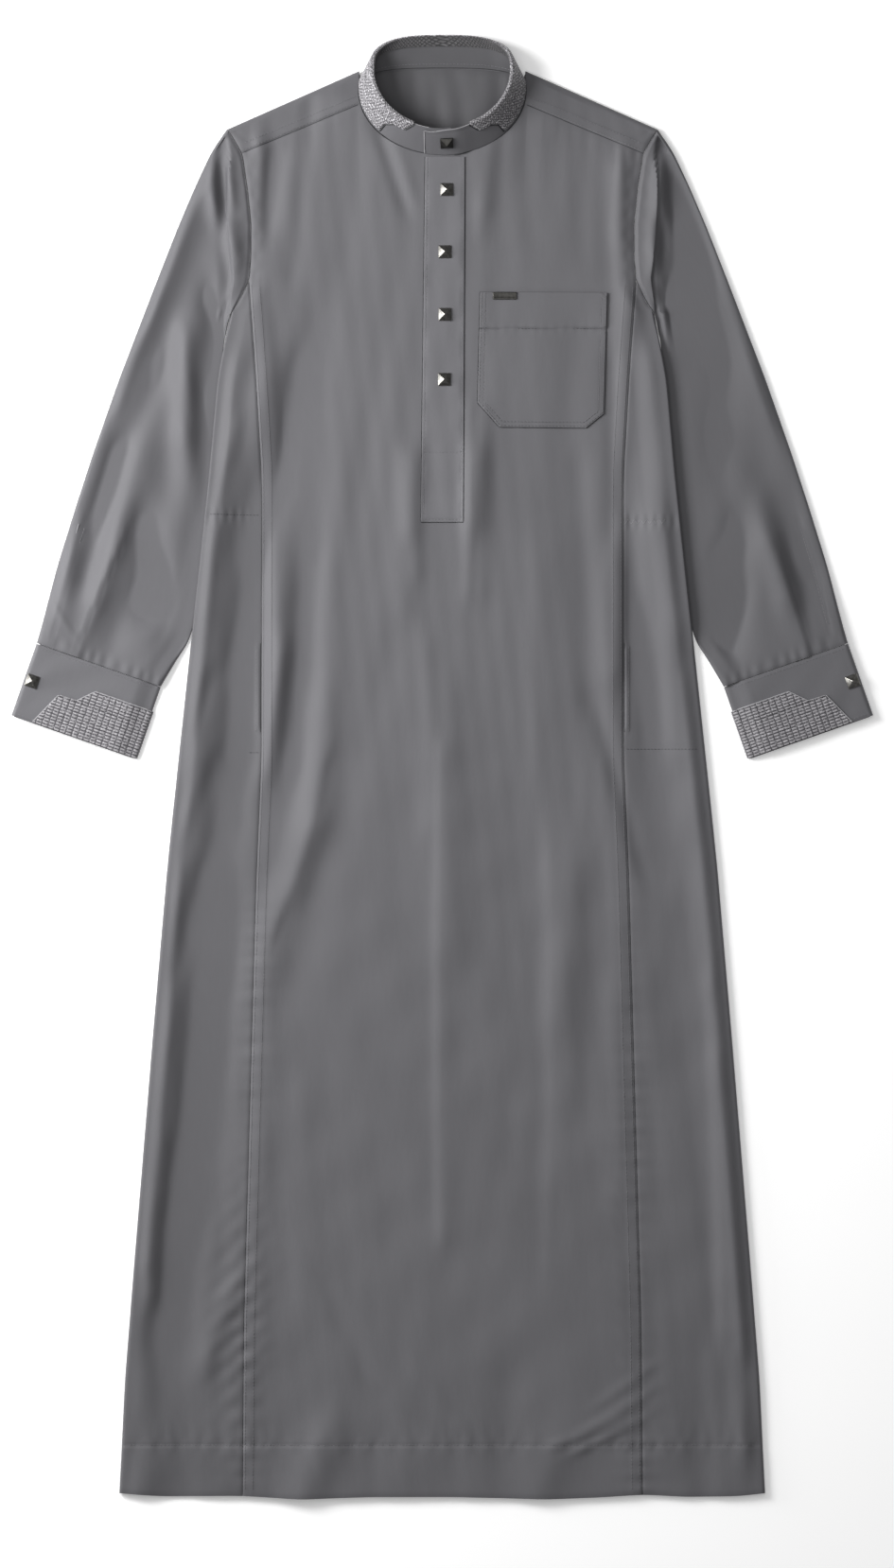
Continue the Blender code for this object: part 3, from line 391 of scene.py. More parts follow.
def clothGrid(name, columns, rows, place, wall, paint, keep=None, closed=False, flip=False, sharp=50, inner=None):
    # A grid laid where place says: it takes column and row numbers and gives x, y, z and the cut's u, v.
    deselect()
    bpy.ops.mesh.primitive_grid_add(x_subdivisions=columns, y_subdivisions=rows, size=2)
    made = bpy.context.object
    made.name = name
    mesh = made.data
    mesh.name = name
    spots = np.empty(len(mesh.vertices) * 3)
    mesh.vertices.foreach_get("co", spots)
    spots = spots.reshape(-1, 3)
    column = np.rint((spots[:, 0] + 1) / 2 * columns).astype(int)
    row = np.rint((spots[:, 1] + 1) / 2 * rows).astype(int)
    x, y, z, u, v = place(column, row)
    mesh.vertices.foreach_set("co", (np.stack([x, y, z], 1) * 0.001).ravel())
    corner = np.empty(len(mesh.loops), int)
    mesh.loops.foreach_get("vertex_index", corner)
    mesh.uv_layers[0].data.foreach_set("uv", (np.stack([u, v], 1)[corner] * 0.001).ravel())
    mesh.update()
    if keep is not None:
        bpy.ops.object.mode_set(mode="EDIT")
        bpy.ops.mesh.select_mode(type="FACE")
        bpy.ops.mesh.select_all(action="DESELECT")
        bpy.ops.object.mode_set(mode="OBJECT")
        firstColumn = np.array([min(column[i] for i in p.vertices) for p in mesh.polygons])
        firstRow = np.array([min(row[i] for i in p.vertices) for p in mesh.polygons])
        mesh.polygons.foreach_set("select", ~keep(firstColumn, firstRow))
        bpy.ops.object.mode_set(mode="EDIT")
        bpy.ops.mesh.delete(type="FACE")
        bpy.ops.object.mode_set(mode="OBJECT")
    bpy.ops.object.mode_set(mode="EDIT")
    bpy.ops.mesh.select_all(action="SELECT")
    if closed:
        bpy.ops.mesh.remove_doubles(threshold=0.00001)
    if flip:
        bpy.ops.mesh.flip_normals()
    bpy.ops.object.mode_set(mode="OBJECT")
    made.data.materials.append(paint)
    if inner:
        made.data.materials.append(inner)
    if wall:
        solid = made.modifiers.new("wall", "SOLIDIFY")
        solid.material_offset = 1 if inner else 0
        solid.thickness = wall * 0.001
        solid.offset = -1
        applyAll(made)
    bpy.ops.object.shade_smooth_by_angle(angle=radians(sharp))
    return made


def finishPiece(made, node):
    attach(made, "root")
    if node:
        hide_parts(node)
    return made


def bothWays(values):
    return np.concatenate([-values[:0:-1], values])


def newPaint(name):
    paint = bpy.data.materials.new(name)
    paint.use_nodes = True
    nodes = paint.node_tree.nodes
    return paint, nodes, paint.node_tree.links, nodes["Principled BSDF"]


clothLook = {
    "colour": (0.120, 0.1185, 0.1275),
    "roughness": 0.62,
    "sheen": 0.10,
    "weavePerMetre": 1150.0,
    "weaveDepth": 0.10,
    "mottle": 0.035,
    "paintedLightByPart": {    # painted light and shade: how much darker or lighter each part's copy of the cloth is than the front's
        "leftPanel": 0.88, "leftSleeve": 0.95, "rightSleeve": 0.91, "inside": 0.70, "yoke": 0.94, "placket": 1.12,
    },
}


def robeCloth(name, paintedLightFactor=1.0):
    # Smooth twill: fine slanting ribs, a little slub, and a slow unevenness of tone.
    paint, nodes, links, shader = newPaint(name)
    uv = nodes.new("ShaderNodeUVMap")
    turned = nodes.new("ShaderNodeMapping")
    turned.inputs["Rotation"].default_value = (0, 0, radians(28))
    turned.inputs["Scale"].default_value = (1.0, 0.22, 1.0)
    links.new(uv.outputs["UV"], turned.inputs["Vector"])
    rib = nodes.new("ShaderNodeTexNoise")
    rib.inputs["Scale"].default_value = clothLook["weavePerMetre"]
    rib.inputs["Detail"].default_value = 2
    links.new(turned.outputs["Vector"], rib.inputs["Vector"])
    slub = nodes.new("ShaderNodeTexNoise")
    slub.inputs["Scale"].default_value = 240
    slub.inputs["Detail"].default_value = 3
    links.new(turned.outputs["Vector"], slub.inputs["Vector"])
    tone = nodes.new("ShaderNodeTexNoise")
    tone.inputs["Scale"].default_value = 7
    tone.inputs["Detail"].default_value = 2
    links.new(uv.outputs["UV"], tone.inputs["Vector"])
    mixed = nodes.new("ShaderNodeMath")
    mixed.operation = "MULTIPLY_ADD"
    mixed.inputs[1].default_value = 0.55
    links.new(rib.outputs["Fac"], mixed.inputs[0])
    links.new(slub.outputs["Fac"], mixed.inputs[2])
    shade = nodes.new("ShaderNodeMapRange")
    shade.inputs["From Min"].default_value = 0.45
    shade.inputs["From Max"].default_value = 1.1
    shade.inputs["To Min"].default_value = 1 - clothLook["mottle"]
    shade.inputs["To Max"].default_value = 1 + clothLook["mottle"]
    links.new(mixed.outputs["Value"], shade.inputs["Value"])
    slow = nodes.new("ShaderNodeMapRange")
    slow.inputs["From Min"].default_value = 0.3
    slow.inputs["From Max"].default_value = 0.7
    # paintedLightFactor paints a part's light or shade into the whole colour
    slow.inputs["To Min"].default_value = 0.965 * paintedLightFactor
    slow.inputs["To Max"].default_value = 1.035 * paintedLightFactor
    links.new(tone.outputs["Fac"], slow.inputs["Value"])
    both = nodes.new("ShaderNodeMath")
    both.operation = "MULTIPLY"
    links.new(shade.outputs["Result"], both.inputs[0])
    links.new(slow.outputs["Result"], both.inputs[1])
    dye = nodes.new("ShaderNodeVectorMath")
    dye.operation = "SCALE"
    dye.inputs[0].default_value = clothLook["colour"]
    links.new(both.outputs["Value"], dye.inputs["Scale"])
    links.new(dye.outputs["Vector"], shader.inputs["Base Color"])
    gloss = nodes.new("ShaderNodeMapRange")
    gloss.inputs["To Min"].default_value = clothLook["roughness"] - 0.05
    gloss.inputs["To Max"].default_value = clothLook["roughness"] + 0.07
    links.new(slub.outputs["Fac"], gloss.inputs["Value"])
    links.new(gloss.outputs["Result"], shader.inputs["Roughness"])
    relief = nodes.new("ShaderNodeBump")
    relief.inputs["Strength"].default_value = clothLook["weaveDepth"]
    relief.inputs["Distance"].default_value = 0.0004
    links.new(mixed.outputs["Value"], relief.inputs["Height"])
    links.new(relief.outputs["Normal"], shader.inputs["Normal"])
    shader.inputs["Sheen Weight"].default_value = clothLook["sheen"]
    shader.inputs["Sheen Roughness"].default_value = 0.45
    shader.inputs["Specular IOR Level"].default_value = 0.35
    return paint


# Lit and shaded copies of one cloth: painted shade on the left panel, the sleeves, the yoke and the neck's inside, and
# a painted highlight on the placket.
clothPaint = robeCloth("robeCloth")
clothLeftPanelShaded = robeCloth("robeClothLeftPanelPaintedShade", clothLook["paintedLightByPart"]["leftPanel"])
clothLeftSleeveShaded = robeCloth("robeClothLeftSleevePaintedShade", clothLook["paintedLightByPart"]["leftSleeve"])
clothRightSleeveShaded = robeCloth("robeClothRightSleevePaintedShade", clothLook["paintedLightByPart"]["rightSleeve"])
clothInsideShaded = robeCloth("robeClothInsidePaintedShade", clothLook["paintedLightByPart"]["inside"])
clothCuff = robeCloth("robeClothCuff", 1.0)
clothYokeShaded = robeCloth("robeClothYokePaintedShade", clothLook["paintedLightByPart"]["yoke"])
clothPlacketLit = robeCloth("robeClothPlacketPaintedHighlight", clothLook["paintedLightByPart"]["placket"])

trimLook = {
    "light": (0.215, 0.208, 0.219),
    "dark": (0.040, 0.038, 0.043),
    "paintedGlint": (0.62, 0.61, 0.635),
    "grain": 540.0,
    "cuffCell": (6.4, 3.1, 0.85),      # a dash's step across, its row's height and the groove, in millimetres
    "collarCell": (3.0, 2.6, 0.6),
    "cuffGlow": 1.5, "collarGlow": 1.5, "insidePaintedShade": 0.40,
    "collarLay": 38,                   # degrees that the collar's rows slant
    # how much darker the collar's right side is painted, as shade
    "collarRightPaintedShade": 0.76,
}


def trimCloth(name, cell, dim=1.0, lay=0.0, grainy=0.35, paintedShadeRight=1.0):
    # Little raised dashes in rows, light on a dark ground that also paints the shade in the grooves, broken up by
    # bright flecks that are painted glints; the grain's low spots are painted darker too.
    paint, nodes, links, shader = newPaint(name)
    uv = nodes.new("ShaderNodeUVMap")
    turned = nodes.new("ShaderNodeMapping")
    turned.inputs["Rotation"].default_value = (0, 0, lay)
    links.new(uv.outputs["UV"], turned.inputs["Vector"])
    brick = nodes.new("ShaderNodeTexBrick")
    brick.offset = 0.0
    brick.inputs["Scale"].default_value = 1.0
    brick.inputs["Brick Width"].default_value = cell[0] * 0.001
    brick.inputs["Row Height"].default_value = cell[1] * 0.001
    brick.inputs["Mortar Size"].default_value = cell[2] * 0.001
    brick.inputs["Mortar Smooth"].default_value = 0.35
    light = tuple(c * dim for c in trimLook["light"])
    brick.inputs["Color1"].default_value = (*light, 1)
    brick.inputs["Color2"].default_value = (*(c * 0.8 for c in light), 1)
    brick.inputs["Mortar"].default_value = (*(c * dim for c in trimLook["dark"]), 1)
    links.new(turned.outputs["Vector"], brick.inputs["Vector"])
    grain = nodes.new("ShaderNodeTexNoise")
    grain.inputs["Scale"].default_value = trimLook["grain"]
    grain.inputs["Detail"].default_value = 1.5
    links.new(uv.outputs["UV"], grain.inputs["Vector"])
    spot = nodes.new("ShaderNodeMapRange")
    spot.inputs["From Min"].default_value = 0.54
    spot.inputs["From Max"].default_value = 0.66
    links.new(grain.outputs["Fac"], spot.inputs["Value"])
    some = nodes.new("ShaderNodeMath")
    some.operation = "MULTIPLY"
    some.inputs[1].default_value = grainy * 1.6
    links.new(spot.outputs["Result"], some.inputs[0])
    paintedGlint = nodes.new("ShaderNodeMix")
    paintedGlint.data_type = "RGBA"
    paintedGlint.inputs["B"].default_value = (*(c * dim for c in trimLook["paintedGlint"]), 1)
    links.new(some.outputs["Value"], paintedGlint.inputs["Factor"])
    links.new(brick.outputs["Color"], paintedGlint.inputs["A"])
    pitShade = nodes.new("ShaderNodeMapRange")
    pitShade.inputs["From Min"].default_value = 0.30
    pitShade.inputs["From Max"].default_value = 0.46
    pitShade.inputs["To Min"].default_value = 1 - grainy
    links.new(grain.outputs["Fac"], pitShade.inputs["Value"])
    dark = nodes.new("ShaderNodeVectorMath")
    dark.operation = "SCALE"
    links.new(paintedGlint.outputs["Result"], dark.inputs[0])
    # the collar's right side is painted darker, as shade on the side away from the light
    where = nodes.new("ShaderNodeTexCoord")
    parts = nodes.new("ShaderNodeSeparateXYZ")
    links.new(where.outputs["Object"], parts.inputs["Vector"])
    across = nodes.new("ShaderNodeMapRange")
    across.inputs["From Min"].default_value = -0.02
    across.inputs["From Max"].default_value = 0.06
    across.inputs["To Min"].default_value = 1.0
    across.inputs["To Max"].default_value = paintedShadeRight
    links.new(parts.outputs["X"], across.inputs["Value"])
    both = nodes.new("ShaderNodeMath")
    both.operation = "MULTIPLY"
    links.new(pitShade.outputs["Result"], both.inputs[0])
    links.new(across.outputs["Result"], both.inputs[1])
    links.new(both.outputs["Value"], dark.inputs["Scale"])
    links.new(dark.outputs["Vector"], shader.inputs["Base Color"])
    relief = nodes.new("ShaderNodeBump")
    relief.inputs["Strength"].default_value = 0.6
    relief.inputs["Distance"].default_value = 0.0005
    links.new(grain.outputs["Fac"], relief.inputs["Height"])
    links.new(relief.outputs["Normal"], shader.inputs["Normal"])
    shader.inputs["Roughness"].default_value = 0.5
    shader.inputs["Sheen Weight"].default_value = 0.15
    return paint


collarLay = radians(trimLook["collarLay"])
cuffTrimPaint = trimCloth("gridTrimCuff", trimLook["cuffCell"], trimLook["cuffGlow"], 0.0, 0.14)
collarTrimPaint = trimCloth(
    "gridTrimCollar", trimLook["collarCell"], trimLook["collarGlow"], collarLay, 0.34, trimLook["collarRightPaintedShade"])
# the trim turned in over the rim is a much darker copy: painted shade inside the collar
collarTrimInsideShaded = trimCloth("gridTrimInsidePaintedShade", trimLook["collarCell"], trimLook["insidePaintedShade"], collarLay, 0.12)


def threadPaint(name, colour):
    paint, nodes, links, shader = newPaint(name)
    where = nodes.new("ShaderNodeTexCoord")
    twist = nodes.new("ShaderNodeTexNoise")
    twist.inputs["Scale"].default_value = 900
    links.new(where.outputs["Object"], twist.inputs["Vector"])
    ramp = nodes.new("ShaderNodeMapRange")
    ramp.inputs["To Min"].default_value = 0.8
    ramp.inputs["To Max"].default_value = 1.2
    links.new(twist.outputs["Fac"], ramp.inputs["Value"])
    dye = nodes.new("ShaderNodeVectorMath")
    dye.operation = "SCALE"
    dye.inputs[0].default_value = colour
    links.new(ramp.outputs["Result"], dye.inputs["Scale"])
    links.new(dye.outputs["Vector"], shader.inputs["Base Color"])
    shader.inputs["Roughness"].default_value = 0.55
    return paint


# dark thread for the join stitches, and dark cords that paint shade in seams and under edges
darkThreadAndShade = threadPaint("darkThreadAndShade", (0.026, 0.026, 0.029))
threadCloth = threadPaint("threadCloth", (0.155, 0.153, 0.163))
threadSoft = threadPaint("threadSoft", (0.22, 0.217, 0.228))
# light cords that paint highlights on edges and along the collar rim
paintedHighlightCord = threadPaint("paintedHighlightCord", (0.34, 0.335, 0.35))


def gunmetalPaint(name, dim=1.0):
    paint, nodes, links, shader = newPaint(name)
    where = nodes.new("ShaderNodeTexCoord")
    wear = nodes.new("ShaderNodeTexNoise")
    wear.inputs["Scale"].default_value = 420
    wear.inputs["Detail"].default_value = 3
    links.new(where.outputs["Object"], wear.inputs["Vector"])
    tone = nodes.new("ShaderNodeValToRGB")
    tone.color_ramp.elements[0].color = (0.20 * dim, 0.195 * dim, 0.18 * dim, 1)
    tone.color_ramp.elements[1].color = (0.34 * dim, 0.33 * dim, 0.315 * dim, 1)
    tone.color_ramp.elements[0].position = 0.35
    tone.color_ramp.elements[1].position = 0.7
    links.new(wear.outputs["Fac"], tone.inputs["Fac"])
    links.new(tone.outputs["Color"], shader.inputs["Base Color"])
    rough = nodes.new("ShaderNodeMapRange")
    rough.inputs["To Min"].default_value = 0.24
    rough.inputs["To Max"].default_value = 0.40
    links.new(wear.outputs["Fac"], rough.inputs["Value"])
    links.new(rough.outputs["Result"], shader.inputs["Roughness"])
    shader.inputs["Metallic"].default_value = 1.0
    return paint


gunmetal = gunmetalPaint("gunmetal")
# the plate's own darker metal, also put on the collar stud as painted shade
gunmetalDark = gunmetalPaint("gunmetalDark", 0.20)


def frontPanel():
    wide, atNeck, atSeam = frontShape["wideStep"], frontShape["neckStep"], frontShape["seamStep"]
    half = np.concatenate([
        np.arange(0, 60, wide), np.arange(60, 87, atNeck), np.arange(87, 176, wide),
        np.arange(176, 203.4, atSeam), [203.4]])
    spots = bothWays(half)
    body = np.concatenate([
        np.arange(robe["hemY"], -700, 3.2), np.arange(-700, -678, 1.6),
        np.arange(-678, robe["joinY"], frontShape["longStep"])])
    chest = np.linspace(robe["joinY"], robe["seamArm"][1], 40)
    levels = np.concatenate([body, chest])

    def place(column, row):
        spot, level = spots[column], levels[row]
        x = spot / half[-1] * sideSeamOrArm(level)
        share = np.clip(np.abs(spot) / (neck["half"] + 0.7), 0, 1)
        neckEnd = neck["midY"] - (neck["front"] + 0.7) * np.sqrt(1 - share * share)
        upper = np.where(np.abs(spot) < robe["seamNeck"][0], neckEnd, yokeSeamY(np.abs(spot)))
        part = (level - robe["joinY"]) / (levels[-1] - robe["joinY"])
        y = np.where(level > robe["joinY"], robe["joinY"] + (upper - robe["joinY"]) * part, level)
        hang = np.clip(1 - (level - robe["hemY"]) / 50, 0, 1)
        y = y + (hemY(x) - robe["hemY"]) * hang
        return x, y, topHeight(x, y), x, y

    made = clothGrid("frontPanel", len(spots) - 1, len(levels) - 1, place, robe["wall"], clothPaint)
    return finishPiece(made, "front_panel")


def sideSeamOrArm(level):
    return np.where(level <= robe["joinY"], sideSeam(level), armhole(np.clip(level, 461, 648)))


backShape = {"columns": 60, "rows": 180}


def backPanel():
    levels = np.linspace(robe["hemY"], robe["yokeBackY"] - 0.2, backShape["rows"])
    count = backShape["columns"]

    def place(column, row):
        level = levels[row]
        share = column / count * 2 - 1
        x = share * (sideSeamOrArm(level) - 0.25)
        hang = np.clip(1 - (level - robe["hemY"]) / 50, 0, 1)
        y = level + (hemY(x) - robe["hemY"]) * hang
        return x, y, np.full(x.shape, robe["wall"]), x, y

    made = clothGrid("backPanel", count, len(levels) - 1, place, robe["wall"], clothPaint)
    return finishPiece(made, "back_panel")


def sidePanel(name, node, side, paint):
    # One cross-section a row: from the front seam out to the side fold, round it and back underneath.
    levels = np.concatenate([
        np.arange(robe["hemY"], -700, 3.2), np.arange(-700, -678, 1.6), np.arange(-678, 400, 4.2),
        np.linspace(400, robe["joinY"], 36)])
    across = np.concatenate([np.linspace(0, 0.12, 9)[:-1], np.linspace(0.12, 1, 34)])
    bends = np.linspace(0, pi, 11)[1:]
    back = np.linspace(0, 1, 9)[1:]
    last, turnEnd = len(across) - 1, len(across) - 1 + len(bends)

    def place(column, row):
        level = levels[row]
        drop = smooth((level - 405) / 89) * (robe["joinY"] - robe["underarm"][1])
        seam = sideSeam(level)
        edgeLevel = level - drop
        edge = bodyEdge(edgeLevel)
        lift = tuckLift(edgeLevel)
        radius = (robe["top"] - lift) / 2
        flat = edge - radius
        onTop = column <= last
        turn = bends[np.clip(column - last - 1, 0, len(bends) - 1)]
        under = back[np.clip(column - turnEnd - 1, 0, len(back) - 1)]
        topX = seam + (flat - seam) * across[np.clip(column, 0, last)]
        roundX = flat + radius * np.sin(turn)
        backX = flat + (seam - flat) * under
        x = np.where(onTop, topX, np.where(column <= turnEnd, roundX, backX))
        fallen = np.interp((x - seam) / (edge - seam), [0, 0.54, 1], [0, 0.61, 1])
        y = level - 0.03 * drop - drop * fallen
        hang = np.clip(1 - (level - robe["hemY"]) / 50, 0, 1)
        y = y + (hemY(side * x) - robe["hemY"]) * hang
        edgeTop = topHeight(side * flat, y)
        roundZ = lift + (edgeTop - lift) / 2 * (1 + np.cos(turn))
        backZ = lift * smooth(1 - (edge - x) / 26)
        z = np.where(onTop, topHeight(side * x, y), np.where(column <= turnEnd, roundZ, backZ))
        girth = np.where(onTop, x, np.where(column <= turnEnd, flat + radius * turn, flat + pi * radius + (flat - x)))
        return side * x, y, z, side * girth, y

    count = turnEnd + len(back)
    made = clothGrid(name, count, len(levels) - 1, place, robe["wall"], paint, flip=side < 0)
    return finishPiece(made, node)


def yokeFoldY(half):
    part = (half - robe["strapNeckX"]) / (robe["armTop"][0] - robe["strapNeckX"])
    return robe["neckFoldY"] + (robe["armTop"][1] - robe["neckFoldY"]) * part


yokeShape = {
    "rows": (26, 8, 16),       # up the back, round the shoulder and down the straps
    "insideFolds": 0.95,       # the soft folds that show through the neck
    "insideLean": 1.3,
}


def yoke():
    half = np.concatenate([
        np.arange(0, 72, 4.0), np.arange(72, 84, 2.0), np.linspace(84.5, 196, 28), np.linspace(198, 218, 14)])
    spots = bothWays(half)
    radius = robe["top"] / 2
    backRows, bendRows, strapRows = yokeShape["rows"]
    onStrapFrom = robe["strapNeckX"] - 0.01

    def place(column, row):
        spot = spots[column]
        side = np.where(spot < 0, -1, 1)
        away = np.abs(spot)
        onStrap = away >= onStrapFrom
        # underneath, from the back seam up to the neck or the shoulder
        part = np.clip(row / backRows, 0, 1)
        armEnd = robe["armTop"][1] - np.where(onStrap, radius, 0)
        start = robe["yokeBackY"] + 0.2
        level = start + (armEnd - start) * part
        share = np.minimum(away / neck["half"], 1) ** 3
        neckLine = neck["midY"] + neck["back"] * (1 - share) ** (1 / 3) - 0.3
        end = np.where(onStrap, yokeFoldY(away) - radius, neckLine)
        backY = start + (end - start) * part
        backX = away / robe["armTop"][0] * (armhole(level) - 0.25)
        pleats = yokeShape["insideFolds"] * (1 + waver(spot, backY, 61, 33, 240))
        pleats = pleats + yokeShape["insideLean"] * smooth((spot + 60) / 130)
        pleats = pleats * smooth((backY - 606) / 12) * smooth((neckLine - backY + 4) / 10) * smooth((78 - away) / 10)
        backZ = 1.2 + np.where(onStrap, -1.2, smooth((part - 0.7) / 0.3) + pleats)
        # over the shoulder fold
        bend = np.clip((row - backRows) / bendRows, 0, 1) * pi
        share = (away - robe["strapNeckX"]) / (robe["armTop"][0] - robe["strapNeckX"])
        bendY = yokeFoldY(away) - radius + radius * np.sin(bend)
        outer = armhole(robe["armTop"][1] - radius + radius * np.sin(bend)) - 0.3
        bendX = robe["strapNeckX"] + (outer - robe["strapNeckX"]) * share
        bendZ = radius - radius * np.cos(bend)
        # and down the front strap to the yoke seam
        part = np.clip((row - backRows - bendRows) / strapRows, 0, 1)
        neckY = robe["neckFoldY"] - radius + (robe["seamNeck"][1] - robe["neckFoldY"] + radius) * part
        armY = robe["armTop"][1] - radius + (robe["seamArm"][1] - robe["armTop"][1] + radius) * part
        high = np.minimum(np.maximum(neckY - neck["midY"], 0) / neck["back"], 1) ** 3
        upper = np.maximum(robe["strapNeckX"], neck["half"] * (1 - high) ** (1 / 3) + 0.6)
        low = np.clip((neck["midY"] - neckY) / neck["front"], 0, 1)
        lower = neck["half"] * np.sqrt(1 - low * low) + 0.6
        inner = np.where(neckY > neck["midY"], upper, lower)
        strapX = inner + (armhole(armY) - inner) * share
        strapY = neckY + (armY - neckY) * share
        x = np.where(row <= backRows, backX, np.where(row <= backRows + bendRows, bendX, strapX))
        y = np.where(row <= backRows, backY, np.where(row <= backRows + bendRows, bendY, strapY))
        strapZ = topHeight(side * strapX, strapY)
        z = np.where(row <= backRows, backZ, np.where(row <= backRows + bendRows, bendZ, strapZ))
        cutY = np.where(row <= backRows, backY, 2 * yokeFoldY(away) - y + 8)
        return side * x, y, z, side * x, cutY

    def keep(column, row):
        first = np.minimum(np.abs(spots[column]), np.abs(spots[column + 1]))
        return (row < backRows) | (first >= onStrapFrom)

    count = backRows + bendRows + strapRows
    made = clothGrid("yokeCloth", len(spots) - 1, count, place, robe["wall"], clothYokeShaded, keep=keep, flip=True)
    # the faces underneath, seen inside the neck, take the darker copy: painted shade inside the collar
    made.data.materials.append(clothInsideShaded)
    for face in made.data.polygons:
        if face.center.z < 0.0066 and abs(face.center.x) < 0.0838:
            face.material_index = 1
    return finishPiece(made, "yoke")


cuffShape = {
    "long": 133.5, "deep": 77.0, "high": 8.6, "wall": 1.6,
    "corner": (437.3, 53.0),   # the outer lower corner
    "turn": 19.3,              # degrees
    "fall": 3.4,               # how far its folded end sinks
    "slack": 0.5,
}
sleeveShape = {
    "cells": (52, 10, 12),     # across the top, round each fold and underneath
    "foldDepth": 1.35, "slack": 0.45,
    "lens": 24,                # how wide the raised part of the sleeve head is
    "left": {"lean": 1.2, "swell": 3.6, "step": 3.6, "trough": 1.6, "sudden": 0.0, "vent": 1},
    "right": {"lean": 1.0, "swell": 1.2, "step": 3.2, "trough": 4.4, "sudden": 0.5, "vent": 0.2},
}


def sleevePlan(share, down):
    outX, outY = sleeveOuter(down)
    inX, inY = sleeveInner(down)
    (topX, topY), (lowX, lowY) = robe["armTop"], robe["underarm"]
    level = topY + (lowY - topY) * share
    straight = 218.4 + (215.9 - 218.4) * share
    bulge = (armhole(level) + 0.5 - straight) * (1 - down) ** (5 + 60 * share ** 4)
    bulge = np.where((share > 0) & (share < 1), bulge, 0)
    return outX + (inX - outX) * share + bulge, outY + (inY - outY) * share


